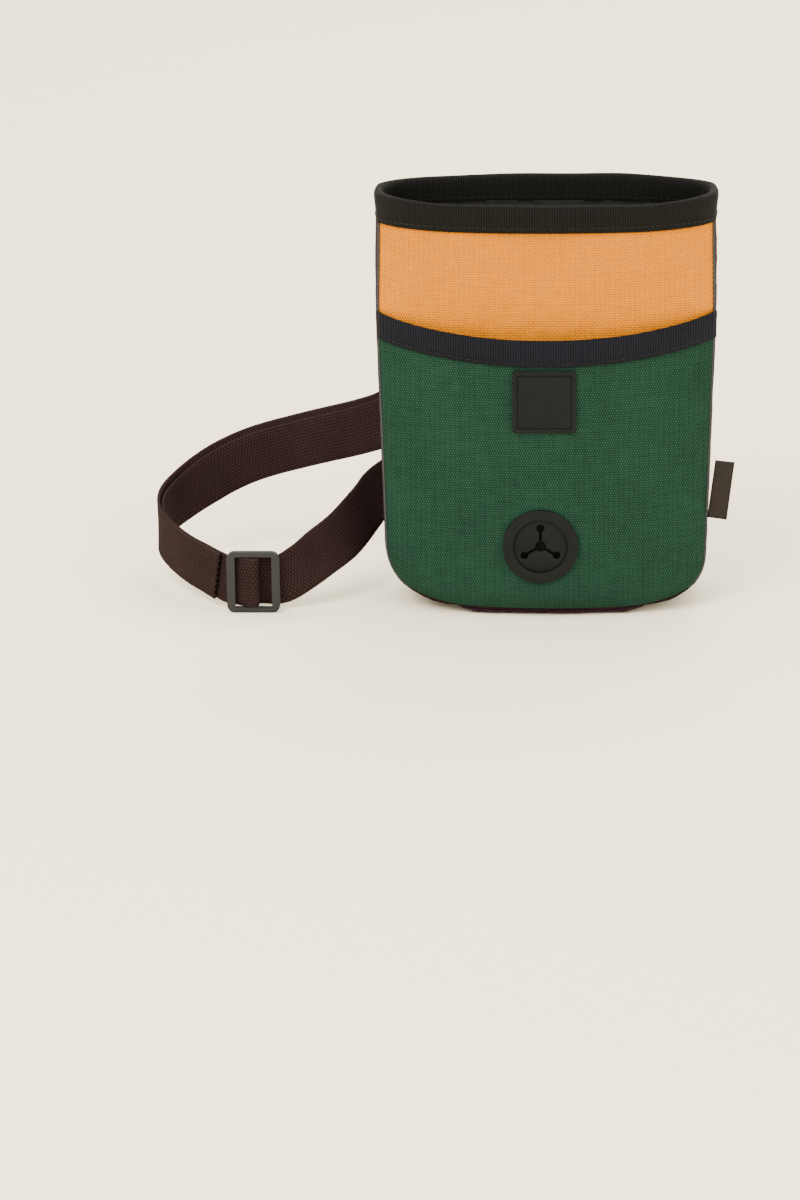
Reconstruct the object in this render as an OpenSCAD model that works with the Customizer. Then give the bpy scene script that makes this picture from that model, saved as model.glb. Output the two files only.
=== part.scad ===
// Treat pouch: a soft bag with a bound mouth, a front pocket with a waste-bag port, a zip pocket,
// belt loops with buckle halves, a cinch cord and a webbing strap with a tri-glide adjuster.
// Millimetres. +Z is up, the front faces -Y, the origin is at the middle of the base.

/* [Pouch body] */
// Width across the mouth
mouth_w = 165; // [160:1:170]
// Width at the base, before the corners round off
base_w = 153; // [149:1:157]
// Height from the base to the top of the binding
pouch_h = 205; // [203:1:210]
// Depth between the front and back side seams
seam_d = 52; // [50:1:54]
// How far the front panel bows out at its middle
front_bow = 11; // [10:0.5:11.5]
// How far the back panel bows out at its middle
back_bow = 4; // [3.5:0.5:4.5]
// Radius of the bottom corners
corner_r = 27; // [22:1:28]
// Thickness of the outer fabric
shell_t = 1.2; // [1:0.1:1.3]
// Thickness of the lining fabric
lining_t = 0.8; // [0.6:0.1:1]

/* [Mouth] */
// Height of the ribbed binding round the mouth
binding_h = 14.5; // [12:0.5:16]
// Thickness of the binding tape
binding_t = 1.1; // [0.9:0.1:1.2]
// Depth of the collar inside the mouth
collar_depth = 46; // [35:1:60]

/* [Front pocket] */
// Height of the pocket's edge at the side seams
pocket_end_h = 149; // [146:1:152]
// Height of the pocket's edge at the middle
pocket_mid_h = 139; // [138:0.5:141]
// Height of the pocket's binding
pocket_band_h = 13; // [11:0.5:13.5]
// How far the pocket bows out at its middle
pocket_bow = 18.5; // [18.5:0.5:20]
// Side of the square rubber patch
patch_w = 30.5; // [28:0.5:31]
// Height of the patch's centre
patch_z = 109; // [106:0.5:109]
// Outer diameter of the dispenser port
port_d = 36.5; // [34:0.5:38]
// Height of the port's centre
port_z = 37; // [32:0.5:40]
// How far the patch sits to the left of the pocket's middle
patch_left = 0.7; // [0:0.1:2]
// How far the port sits to the left of the pocket's middle
port_left = 2.5; // [0:0.1:3]

/* [Zip] */
// Distance of the zip from the middle of the back
zip_x = 62; // [60:1:64]
// Width of the zip window
zip_window_w = 12.3; // [12:0.1:13]
// Lower end of the zip window
zip_low = 39.5; // [36:0.5:44]
// Upper end of the zip window
zip_high = 162.5; // [160:0.5:166]

/* [Webbing and buckles] */
// Width of the webbing
web_w = 25; // [24:0.5:25]
// Thickness of the webbing
web_t = 1.5; // [1.3:0.1:1.6]
// Place of the belt loop that carries the female half
female_x = 28; // [26:1:29]
// Place of the belt loop that carries the male half
male_x = -32; // [-33:1:-31]
// Lower end of both belt loops
loop_low = 85.5; // [84:0.5:87]

/* [Cinch cord] */
// Diameter of the cord
cord_d = 2.2; // [2:0.1:2.3]

/* [Hidden] */

big_fn = 720;
round_fn = 48;
eps = 0.01;
reach = 400;
gap = 0.3;

panel_top = pouch_h - binding_t;
binding_low = pouch_h - binding_h;
seam_y = seam_d / 2;
side_a = atan((mouth_w - base_w) / 2 / pouch_h);
corner_x = base_w / 2 - corner_r * (1 - sin(side_a)) / cos(side_a);
corner_steps = 10;
zip_room = 4.6;
lining_back_in = shell_t + zip_room;
lining_in = shell_t + lining_t;

// Radius of the arc that rises by bow over the mouth's half-width
function bow_r(bow) = (pow(mouth_w / 2, 2) + bow * bow) / (2 * bow);
function side_x(z) = base_w / 2 + z * tan(side_a);
// The outer face of the back panel and of a front layer with a given bow, at a distance x
function back_y(x) = seam_y + back_bow - bow_r(back_bow) + sqrt(pow(bow_r(back_bow), 2) - x * x);
function front_y(x, bow) = -seam_y - bow + bow_r(bow) - sqrt(pow(bow_r(bow), 2) - x * x);

// One bottom corner and side of the front outline, moved inwards by inset
function half_outline(inset, top) = concat(
    [for (i = [0 : corner_steps])
        let (a = -90 + i * (90 - side_a) / corner_steps)
        [corner_x + (corner_r - inset) * cos(a), corner_r + (corner_r - inset) * sin(a)]],
    [[side_x(top) - inset / cos(side_a), top]]);
function mirrored(points) = [for (i = [len(points) - 1 : -1 : 0]) [-points[i][0], points[i][1]]];

module outline(inset, top) {
    right = half_outline(inset, top);
    polygon(concat(right, mirrored(right)));
}

// The plan between a front arc and a back arc
module lens(front_in, back_in, bow) {
    intersection() {
        translate([0, -seam_y - bow + bow_r(bow)]) circle(bow_r(bow) - front_in, $fn = big_fn);
        translate([0, seam_y + back_bow - bow_r(back_bow)])
            circle(bow_r(back_bow) - back_in, $fn = big_fn);
    }
}

module lens_prism(front_in, back_in, bow, top) {
    translate([0, 0, -reach / 2]) linear_extrude(top + reach / 2) lens(front_in, back_in, bow);
}

module slab(inset, top) {
    rotate([90, 0, 0]) linear_extrude(reach, center = true) outline(inset, top);
}

// The pouch's solid shape, moved inwards at the sides, front and back
module body_solid(side_in, front_in, back_in, top, bow) {
    intersection() {
        lens_prism(front_in, back_in, bow, top);
        slab(side_in, top);
    }
}

module front_half() { translate([-reach / 2, -reach, -reach / 2]) cube(reach); }
module back_half() { translate([-reach / 2, 0, -reach / 2]) cube(reach); }
module above(z) { translate([-reach / 2, -reach / 2, z]) cube(reach); }
module below(z) { translate([-reach / 2, -reach / 2, z - reach]) cube(reach); }

// A cylinder along Y through a panel
module y_hole(r, x, z, depth = 30, fn = round_fn) {
    translate([x, 0, z]) rotate([90, 0, 0]) cylinder(r = r, h = depth, center = true, $fn = fn);
}

// Points along an arc, for flat profiles
function arc(cx, cy, r, a0, a1, n = 8) =
    [for (i = [0 : n]) let (a = a0 + (a1 - a0) * i / n) [cx + r * cos(a), cy + r * sin(a)]];
function unit(v) = v / norm(v);
function path_dir(p, i) = unit(p[min(i + 1, len(p) - 1)] - p[max(i - 1, 0)]);
function beside(p, d) = [for (i = [0 : len(p) - 1]) let (t = path_dir(p, i))
    p[i] + d * [-t[1], t[0]]];
function reversed(p) = [for (i = [len(p) - 1 : -1 : 0]) p[i]];

// A band of webbing that follows a side-view route [y, z], w wide along X
module side_band(route, x, w, t) {
    translate([x - w / 2, 0, 0]) rotate([90, 0, 90])
        linear_extrude(w) polygon(concat(beside(route, t / 2), reversed(beside(route, -t / 2))));
}

// Sweeps a closed section along a route: sections holds one ring of points per route point
module swept(rings) {
    n = len(rings[0]);
    last = len(rings) - 1;
    sides = [for (i = [0 : last - 1], j = [0 : n - 1], half = [0, 1])
        let (k = (j + 1) % n, a = i * n, b = (i + 1) * n)
        half == 0 ? [b + j, b + k, a + k] : [b + j, a + k, a + j]];
    ends = [[for (j = [0 : n - 1]) j], [for (j = [n - 1 : -1 : 0]) last * n + j]];
    polyhedron(points = [for (r = rings, p = r) p], faces = concat(sides, ends), convexity = 6);
}

// Rings of a round cord; side is any direction that the route never runs along
function cord_rings(route, r, side, n = 8) = [for (i = [0 : len(route) - 1])
    let (t = path_dir(route, i), a = unit(cross(t, side)), b = cross(t, a))
    [for (j = [0 : n - 1]) route[i] + r * (cos(360 * j / n) * a + sin(360 * j / n) * b)]];

// Rings of a ribbon of webbing on its edge. A route point is [x, y, z, lean]: the ribbon's upper
// edge leans by that much to the right for each millimetre up
function place(q) = [q[0], q[1], q[2]];
function ribbon_rings(route, w, t) = let (p = [for (q = route) place(q)])
    [for (i = [0 : len(p) - 1])
        let (d = path_dir(p, i), up = [route[i][3], 0, 1], u = unit(up - (up * d) * d) * w / 2,
            n = unit(cross(d, u)) * t / 2)
        [p[i] + u + n, p[i] - u + n, p[i] - u - n, p[i] + u - n]];
function leaning(points, lean) = [for (q = points) [q[0], q[1], q[2], lean]];

// Smooth curve through hand-chosen points: Catmull-Rom, with n steps to each span
function spline_point(a, b, c, d, s) = 0.5 * (2 * b + (c - a) * s
    + (2 * a - 5 * b + 4 * c - d) * s * s + (3 * b - a - 3 * c + d) * s * s * s);
function smooth(p, n) = concat(
    [for (i = [0 : len(p) - 2], k = [0 : n - 1])
        spline_point(p[max(i - 1, 0)], p[i], p[i + 1], p[min(i + 2, len(p) - 1)], k / n)],
    [p[len(p) - 1]]);

// ---- Shell of the pouch ----

eyelet_x = -54;
eyelet_z = 182;
eyelet_r = 3;
eyelet_barrel = 0.6;
eyelet_flange = 4.4;
disc_r = port_d / 2 - 5;

module eyelet_hole() { translate([0, seam_y, 0]) y_hole(eyelet_r + eyelet_barrel, eyelet_x, eyelet_z); }

module zip_window() {
    translate([zip_x - zip_window_w / 2, 0, zip_low]) cube([zip_window_w, reach, zip_high - zip_low]);
}

module back_panel() {
    color("seagreen") difference() {
        intersection() {
            body_solid(0, 0, 0, panel_top, front_bow);
            back_half();
        }
        lens_prism(shell_t, shell_t, front_bow, reach);
        zip_window();
        eyelet_hole();
    }
}

module front_panel() {
    color("orange") difference() {
        intersection() {
            body_solid(0, 0, 0, panel_top, front_bow);
            front_half();
        }
        lens_prism(shell_t, shell_t, front_bow, reach);
    }
}

// The strip that joins the front and back round the sides and under the base
module gusset() {
    color("#5c464e") difference() {
        body_solid(0, shell_t, shell_t, panel_top, front_bow);
        slab(shell_t, reach);
    }
}

module lining() {
    color("#222222") difference() {
        body_solid(shell_t, shell_t, lining_back_in, panel_top, front_bow);
        body_solid(lining_in, lining_in, lining_back_in + lining_t, reach, front_bow);
        eyelet_hole();
    }
}

// The pocket's plan lies outside the front panel, from its own curved edge down to the base
pocket_rise_r = (pow(mouth_w / 2, 2) + pow(pocket_end_h - pocket_mid_h, 2))
    / (2 * (pocket_end_h - pocket_mid_h));
module pocket_edge(drop) {
    rotate([90, 0, 0]) translate([0, pocket_mid_h - drop + pocket_rise_r, 0])
        cylinder(r = pocket_rise_r, h = reach, center = true, $fn = big_fn);
}
module pocket_layer(out, thick) {
    intersection() {
        difference() {
            body_solid(0, -out, shell_t, pocket_end_h + binding_h, pocket_bow);
            lens_prism(thick - out, shell_t, pocket_bow, reach);
            lens_prism(0, 0, front_bow, reach);
        }
        front_half();
    }
}

// The turned-in edge that closes the pocket to the front panel round its sides and base
module pocket_rim() {
    intersection() {
        difference() {
            body_solid(0, 0, shell_t, pocket_end_h + binding_h, pocket_bow);
            slab(shell_t, reach);
            lens_prism(0, 0, front_bow, reach);
        }
        front_half();
    }
}

module front_pocket() {
    color("darkgreen") difference() {
        union() {
            pocket_layer(0, shell_t);
            pocket_rim();
        }
        pocket_edge(binding_t);
        y_hole(disc_r, -port_left, port_z, reach);
    }
}

// Tape over the pocket's edge: an outer leg and the fold that covers the cloth's raw edge
module pocket_binding() {
    color("midnightblue") difference() {
        pocket_layer(binding_t, shell_t + binding_t);
        pocket_edge(0);
        difference() {
            pocket_layer(0, shell_t);
            pocket_edge(binding_t);
        }
        difference() {
            below(pouch_h);
            pocket_edge(pocket_band_h);
        }
    }
}

// Folded tape over the mouth, closed below by the panels and the lining that it holds
module mouth_binding() {
    color("black") difference() {
        body_solid(-binding_t, -binding_t, -binding_t, pouch_h, front_bow);
        body_solid(lining_in + binding_t, lining_in + binding_t, lining_back_in + lining_t + binding_t,
            reach, front_bow);
        difference() {
            body_solid(0, 0, 0, panel_top, front_bow);
            body_solid(lining_in, lining_in, lining_back_in + lining_t, reach, front_bow);
        }
        below(binding_low);
    }
}

piping_w = 1.8;
piping_out = 1;
piping_low = 7;
module piping(y) {
    color("gray") difference() {
        translate([0, y, 0]) rotate([90, 0, 0])
            linear_extrude(piping_w, center = true) outline(-piping_out, binding_low);
        slab(0, reach);
        below(piping_low);
    }
}
module piping_front() { piping(-seam_y + piping_w / 2); }
module piping_back() { piping(seam_y - piping_w / 2); }

// The collar is a tube of soft cloth inside the mouth, sewn to the binding, that the cord closes
collar_side_in = 12;
collar_in = 5.4;
collar_t = 0.7;
collar_top = binding_low - 0.4;
module collar_shape(more, top) {
    body_solid(collar_side_in + more, collar_in + more, lining_back_in + collar_in + more - shell_t,
        top, front_bow);
}
module drawstring_collar() {
    color("#1c1c1c") difference() {
        union() {
            collar_shape(0, collar_top);
            intersection() {
                body_solid(lining_in, lining_in, lining_back_in + lining_t, binding_low, front_bow);
                above(collar_top);
            }
        }
        collar_shape(collar_t, reach);
        below(binding_low - collar_depth);
    }
}

// ---- Cinch cord ----

cord_r = cord_d / 2;
loop_in = 3.8;
loop_steps = 9;
loop_half = 72;
loop_gap_x = 5;
loop_back_in = lining_back_in + lining_t + loop_in - lining_in;
loop_front = [for (i = [-loop_steps : loop_steps]) let (x = loop_half * i / loop_steps)
    [x, front_y(x, front_bow) + loop_in, eyelet_z]];
function loop_back(from, to) = [for (i = [0 : loop_steps])
    let (x = from + (to - from) * i / loop_steps) [x, back_y(x) - loop_back_in, eyelet_z]];
loop_side = [[75.5, -22, eyelet_z], [77.2, -17, eyelet_z], [78, -8, eyelet_z], [78, 2, eyelet_z],
    [77.4, 10, eyelet_z], [75.6, 16, eyelet_z]];
loop_side_left = [for (i = [len(loop_side) - 1 : -1 : 0])
    [-loop_side[i][0], loop_side[i][1], eyelet_z]];

// The cord inside the collar: one turn round the mouth that starts and ends beside the eyelet
module drawcord_loop() {
    route = concat(loop_back(eyelet_x - loop_gap_x, -loop_half), loop_side_left, loop_front,
        loop_side, loop_back(loop_half, eyelet_x + loop_gap_x));
    color("#151515") swept(cord_rings(route, cord_r, [0, 0, 1]));
}

module cord_eyelet() {
    y_face = back_y(eyelet_x);
    seat = 0.9;
    color("#333333") difference() {
        union() {
            translate([eyelet_x, y_face + seat, eyelet_z]) rotate([90, 0, 0])
                cylinder(r = eyelet_flange, h = 2 * seat, $fn = round_fn);
            translate([eyelet_x, y_face, eyelet_z]) rotate([90, 0, 0])
                cylinder(r = eyelet_r + eyelet_barrel, h = lining_back_in + lining_t, $fn = round_fn);
        }
        difference() {
            body_solid(0, 0, 0, panel_top, front_bow);
            eyelet_hole();
        }
        translate([0, seam_y, 0]) y_hole(eyelet_r, eyelet_x, eyelet_z, 40);
    }
}

// Middle of the two strands, from inside the eyelet, through the lock and down to the knot
cord_route = [
    [-54, 25, 182], [-54, 28.5, 182], [-54.6, 31.4, 181.1], [-55.8, 33.7, 179.4], [-57.5, 34.5, 177],
    [-61.5, 34.5, 171], [-65.5, 34.5, 165], [-69.5, 34.5, 159], [-73.5, 34.5, 153],
    [-75, 34.4, 149.5], [-75.8, 34.2, 145.5], [-76, 34, 141], [-76, 34, 134], [-75.7, 34, 124.5]];
// Half the distance between the strands at each of those points
strand_half = [1.3, 1.3, 1.3, 1.3, 1.3, 1.3, 1.3, 1.3, 1.3, 1.6, 2.2, 2.5, 2.1, 1.5];
strand_steps = 2;
knot_at = [-75.7, 34, 121.5];
knot_r = 3.6;
lock_axis = unit([-3, 0, 2]);

function strand_side(i) = i < 5 ? -lock_axis : unit(cross(path_dir(cord_route, i), [0, 1, 0]));
function strand(sign) = smooth([for (i = [0 : len(cord_route) - 1])
    cord_route[i] + sign * strand_half[i] * strand_side(i)], strand_steps);
module drawcord_strand_a() { color("#151515") swept(cord_rings(strand(1), cord_r, lock_axis)); }
module drawcord_strand_b() { color("#151515") swept(cord_rings(strand(-1), cord_r, lock_axis)); }
module cord_knot() { color("#151515") translate(knot_at) sphere(knot_r, $fn = round_fn); }

// Cord lock, in its own axes: X along the plunger, Z along the cord away from the eyelet
lock_at = [-63.5, 34.5, 168];
lock_tilt = atan2(2, 3);
lock_len = 16;
lock_h = 15;
lock_depth = 11.6;
lock_bore_r = 4.6;
lock_wall = 1.2;
plunger_r = 4.5;
plunger_out = 5;
plunger_travel = 3;
plunger_rear = -lock_len / 2 + lock_wall + plunger_travel + gap;
slot_l = 5.6;
slot_h = 3;
module lock_place() { translate(lock_at) rotate([0, 180 + lock_tilt, 0]) children(); }
module cord_slot(l, h, deep) { translate([-l / 2, -h / 2, -deep]) cube([l, h, 2 * deep]); }
module x_cylinder(r, from, to) {
    translate([from, 0, 0]) rotate([0, 90, 0]) cylinder(r = r, h = to - from, $fn = round_fn);
}
module cord_lock_body() {
    rib = 1.2;
    color("#202020") lock_place() difference() {
        union() {
            translate([-lock_len / 2, -lock_depth / 2, -lock_h / 2 + rib])
                cube([lock_len, lock_depth, lock_h - 2 * rib]);
            translate([-lock_len / 2, -lock_depth / 2, -lock_h / 2])
                cube([2 * rib, lock_depth, lock_h]);
        }
        x_cylinder(lock_bore_r, -lock_len / 2 + lock_wall, lock_len);
        cord_slot(slot_l, slot_h, lock_h);
    }
}
module cord_lock_plunger() {
    cap = 1.6;
    color("#2b2b2b") lock_place() difference() {
        union() {
            x_cylinder(plunger_r, plunger_rear, lock_len / 2 + plunger_out);
            x_cylinder(plunger_r + 0.8, lock_len / 2 + plunger_out - cap, lock_len / 2 + plunger_out);
        }
        translate([plunger_travel / 2, 0, 0])
            cord_slot(slot_l + plunger_travel, slot_h + gap, lock_h);
    }
}
module cord_lock_spring() {
    turns = 3;
    steps = 12;
    wire_r = 0.35;
    coil_r = 3.2;
    from = -lock_len / 2 + lock_wall + wire_r;
    to = plunger_rear - wire_r;
    coil = [for (i = [0 : turns * steps]) let (a = 360 * i / steps)
        [from + (to - from) * i / (turns * steps), coil_r * cos(a), coil_r * sin(a)]];
    color("silver") lock_place() swept(cord_rings(coil, wire_r, [1, 0, 0], 6));
}

// ---- Patch, port and label ----

patch_t = 1.6;
module pocket_face(x, z) { translate([x, front_y(x, pocket_bow), z]) children(); }

module patch() {
    groove_in = 2;
    groove_w = 0.8;
    groove_d = 0.5;
    round_r = 2;
    side = patch_w / 2 - round_r;
    color("#262524") difference() {
        pocket_face(-patch_left, patch_z) rotate([90, 0, 0]) difference() {
            linear_extrude(2 * patch_t, center = true) union() {
                square([patch_w, 2 * side], center = true);
                square([2 * side, patch_w], center = true);
                for (x = [-side, side], z = [-side, side])
                    translate([x, z]) circle(round_r, $fn = round_fn);
            }
            translate([0, 0, patch_t - groove_d]) linear_extrude(patch_t) difference() {
                square(patch_w - 2 * groove_in, center = true);
                square(patch_w - 2 * groove_in - 2 * groove_w, center = true);
            }
        }
        body_solid(0, 0, 0, pocket_end_h + binding_h, pocket_bow);
    }
}

// The port: a flange sewn over the hole in the pocket, and a soft disc with a three-way slit
ring_proud = 2;
slit_reach = 9;
slit_tip_r = 1.9;
slit_w = 1.4;
slit_middle_r = 2.6;
module dispenser_ring() {
    color("#262524") pocket_face(-port_left, port_z) rotate([90, 0, 0]) difference() {
        translate([0, 0, -0.8]) cylinder(r = port_d / 2, h = ring_proud + 0.8, $fn = 2 * round_fn);
        translate([0, 0, -ring_proud]) cylinder(r = disc_r, h = 3 * ring_proud, $fn = 2 * round_fn);
        rotate([-90, 0, 0]) translate([port_left, -front_y(-port_left, pocket_bow), -port_z])
            body_solid(0, 0, 0, pocket_end_h + binding_h, pocket_bow);
    }
}
module dispenser_disc() {
    color("#1f1e1e") pocket_face(-port_left, port_z) rotate([90, 0, 0]) difference() {
        translate([0, 0, -shell_t])
            cylinder(r = disc_r, h = shell_t + ring_proud / 2, $fn = 2 * round_fn);
        for (a = [90, 210, 330]) rotate(a) {
            translate([0, -slit_w / 2, -ring_proud]) cube([slit_reach, slit_w, 3 * ring_proud]);
            translate([slit_reach, 0, -ring_proud])
                cylinder(r = slit_tip_r, h = 3 * ring_proud, $fn = 24);
        }
        translate([0, 0, -ring_proud]) cylinder(r = slit_middle_r, h = 3 * ring_proud, $fn = 24);
    }
}

label_h = 29;
label_out = 10.5;
label_t = 1;
label_z = 59.5;
label_tilt = 7;
module side_label() {
    color("#3a2520") difference() {
        translate([side_x(label_z) + piping_out, 4 - seam_y, label_z]) rotate([0, label_tilt, 0])
            translate([-3, -label_t / 2, -label_h / 2]) cube([label_out + 2, label_t, label_h]);
        slab(0, reach);
    }
}

// ---- Zip, in axes that stand on the back panel: X along the panel, Y outwards ----

zip_turn = -asin(zip_x / bow_r(back_bow));
module zip_place() { translate([zip_x, back_y(zip_x), 0]) rotate([0, 0, zip_turn]) children(); }

tape_t = 0.6;
tape_out = -shell_t - 0.15;
tape_w = 8.5;
tape_split = 1.1;
tape_over = 6;
coil_w = 1.5;
neck_t = 0.5;
module zip_tape(side) {
    x = side > 0 ? tape_split / 2 : -tape_split / 2 - tape_w;
    color("#1a1a1a") zip_place() translate([x, tape_out - tape_t, zip_low - tape_over])
        cube([tape_w, tape_t, zip_high - zip_low + 2 * tape_over]);
}
module zip_tape_left() { zip_tape(-1); }
module zip_tape_right() { zip_tape(1); }

module zip_coil(side) {
    coil_r = coil_w / 2;
    color("#111111") zip_place() translate([side * (tape_split / 2 + coil_r), tape_out - tape_t - coil_r,
        zip_low]) cylinder(r = coil_r, h = zip_high - zip_low, $fn = 24);
}
module zip_coil_left() { zip_coil(-1); }
module zip_coil_right() { zip_coil(1); }

// The slider: an outer plate in the window, an inner plate behind the coils, a neck between
// the tapes and a bridge that holds the pull
slider_z = 154.5;
slider_w = 8;
slider_h = 9;
plate_t = 1;
bridge_w = 2.6;
bridge_h = 3.4;
bridge_y = 1.7;
pin_r = 0.8;
fit = 0.08;
inner_plate = tape_out - tape_t - coil_w - gap;
module zip_slider() {
    color("#141414") zip_place() translate([0, 0, slider_z]) difference() {
        union() {
            for (y = [tape_out + gap, inner_plate - plate_t])
                translate([-slider_w / 2, y, -slider_h / 2]) cube([slider_w, plate_t, slider_h]);
            translate([-neck_t / 2, inner_plate - eps, 0])
                cube([neck_t, tape_out + gap - inner_plate + 2 * eps, slider_h / 2]);
            translate([-bridge_w / 2, tape_out + gap, -bridge_h / 2])
                cube([bridge_w, bridge_y + pin_r + plate_t - tape_out - gap, bridge_h]);
        }
        translate([0, bridge_y, 0]) x_cylinder(pin_r + fit, -bridge_w, bridge_w);
    }
}

// Pull ring: a pin through the bridge, two arms and a lower bar that the cloth tab folds round
ring_w = 9;
ring_t = 1.8;
ring_bar_z = -8.6;
ring_bar_r = 0.9;
arm_w = 1.8;
module zip_pull_ring() {
    half = ring_w / 2;
    top_half = bridge_w / 2 + gap;
    color("#3a3b3c") zip_place() translate([0, bridge_y, slider_z]) {
        x_cylinder(pin_r, -top_half - arm_w, top_half + arm_w);
        for (s = [-1, 1]) rotate([90, 0, 0]) linear_extrude(ring_t, center = true)
            polygon([[s * top_half, pin_r], [s * (top_half + arm_w), pin_r], [s * half, ring_bar_z],
                [s * half, ring_bar_z - ring_bar_r], [s * (half - arm_w), ring_bar_z - ring_bar_r],
                [s * (half - arm_w), ring_bar_z]]);
        translate([0, 0, ring_bar_z]) x_cylinder(ring_bar_r, -half, half);
    }
}

tab_w = 11.3;
tab_t = 1.1;
tab_len = 47;
tab_neck_w = ring_w - 2 * arm_w - 2 * gap;
tab_bar_z = slider_z + ring_bar_z;
module zip_pull_tab() {
    fold_r = ring_bar_r + fit;
    color("#232323") zip_place() translate([0, bridge_y, tab_bar_z]) {
        difference() {
            union() {
                x_cylinder(fold_r + tab_t, -tab_neck_w / 2, tab_neck_w / 2);
                translate([-tab_neck_w / 2, -fold_r - tab_t, -5])
                    cube([tab_neck_w, 2 * (fold_r + tab_t), 5]);
                translate([-tab_w / 2, -tab_t, -tab_len]) cube([tab_w, 2 * tab_t, tab_len - 4]);
            }
            x_cylinder(fold_r, -tab_w, tab_w);
        }
    }
}
module zip_pull_reflector() {
    strip_w = 6;
    strip_t = 0.4;
    edge = 2;
    color("#969696") zip_place() translate([-tab_w / 2 + 4, bridge_y + tab_t, tab_bar_z - tab_len + edge])
        cube([strip_w, strip_t, tab_len - 3 * edge - 4]);
}

// The zip pocket's bag: a shallow tray of cloth between the back panel and the lining
bag_inner_x = 30;
bag_outer_x = 74.5;
bag_low = 24;
bag_high = zip_high + tape_over + 2;
bag_t = 0.4;
module back_layer(from, to) {
    intersection() {
        difference() {
            lens_prism(0, from, front_bow, reach);
            lens_prism(0, to, front_bow, reach);
        }
        back_half();
    }
}
module bag_box(inset) {
    translate([bag_inner_x + inset, 0, bag_low + inset])
        cube([bag_outer_x - bag_inner_x - 2 * inset, reach, bag_high - bag_low - 2 * inset]);
}
module zip_pocket_bag() {
    color("#2a2a2a") difference() {
        intersection() {
            back_layer(shell_t, lining_back_in - 0.1);
            bag_box(0);
        }
        intersection() {
            back_layer(0, lining_back_in - 0.1 - bag_t);
            bag_box(bag_t);
        }
    }
}

// ---- Belt loops and buckle straps ----

web_h = web_t / 2;
bow_out = 5.6;
dip_z = 160;
bar_y = 41.3;
bar_r = 1.2;
bar_fit = 0.1;
fold_r = bar_r + bar_fit + web_h;
female_bar_z = 115;
male_bar_z = 120.3;
female_return = 14;
male_return = 8.5;
// Where the sewn parts of a belt loop lie against the back
function pad_y(x) = back_y(abs(x) + web_w / 2) + web_h;

module belt_loop(x) {
    y = pad_y(x);
    route = [[y + binding_t, 198], [y + binding_t, 189], [y + binding_t + 1.6, 184],
        [y + 3.2, 176], [y + 2.2, 169], [y, 164], [y, dip_z - 3], [y + 2, dip_z - 8],
        [y + bow_out, dip_z - 16], [y + bow_out, loop_low + 10], [y + 2.8, loop_low + 6],
        [y, loop_low + 3.5], [y, loop_low]];
    color("#3c1f26") difference() {
        side_band(route, x, web_w, web_t);
        body_solid(0, 0, 0, panel_top, front_bow);
        difference() {
            body_solid(-binding_t, -binding_t, -binding_t, pouch_h, front_bow);
            below(binding_low);
        }
    }
}
// Left and right are as seen from the back of the pouch
module belt_loop_left() { belt_loop(female_x); }
module belt_loop_right() { belt_loop(male_x); }

module bartacks() {
    bar_l = 19;
    bar_w = 1.6;
    bar_t = 0.5;
    for (x = [female_x, male_x]) {
        y = pad_y(x) + web_h;
        for (place = [[y, loop_low + 1.2], [y + binding_t, 195]])
            color("#4a2a30") translate([x - bar_l / 2, place[0], place[1]]) cube([bar_l, bar_t, bar_w]);
    }
}

// The hanging strap: down from the dip, round the buckle's bar and back up behind itself
module buckle_strap(x, bar_z, return_len) {
    y = pad_y(x) + web_t + gap + 0.1;
    route = concat([[y, dip_z - 1], [y + 0.2, dip_z - 4], [y + 2.6, dip_z - 9], [y + 6, dip_z - 16],
            [y + 7.6, dip_z - 22], [bar_y + fold_r - 2.2, dip_z - 29], [bar_y + fold_r, bar_z + 5]],
        arc(bar_y, bar_z, fold_r, 0, -180, 10), [[bar_y - fold_r, bar_z + return_len]]);
    color("#3c1f26") side_band(route, x, web_w, web_t);
}
module buckle_strap_female() { buckle_strap(female_x, female_bar_z, female_return); }
module buckle_strap_male() { buckle_strap(male_x, male_bar_z, male_return); }

// ---- Side-release buckle halves, each in axes at its own bar ----

bar_half = web_w / 2 + 0.25;
rail_t = 1.4;
module mirror_pair() {
    children();
    mirror([1, 0, 0]) children();
}
// An XZ outline from its right half, t thick, with its middle plane at y
module plate(points, y, t) {
    translate([0, y, 0]) rotate([90, 0, 0]) linear_extrude(t, center = true)
        polygon(concat(points, mirrored(points)));
}
module x_bar(r, half) { x_cylinder(r, -half, half); }

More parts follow.
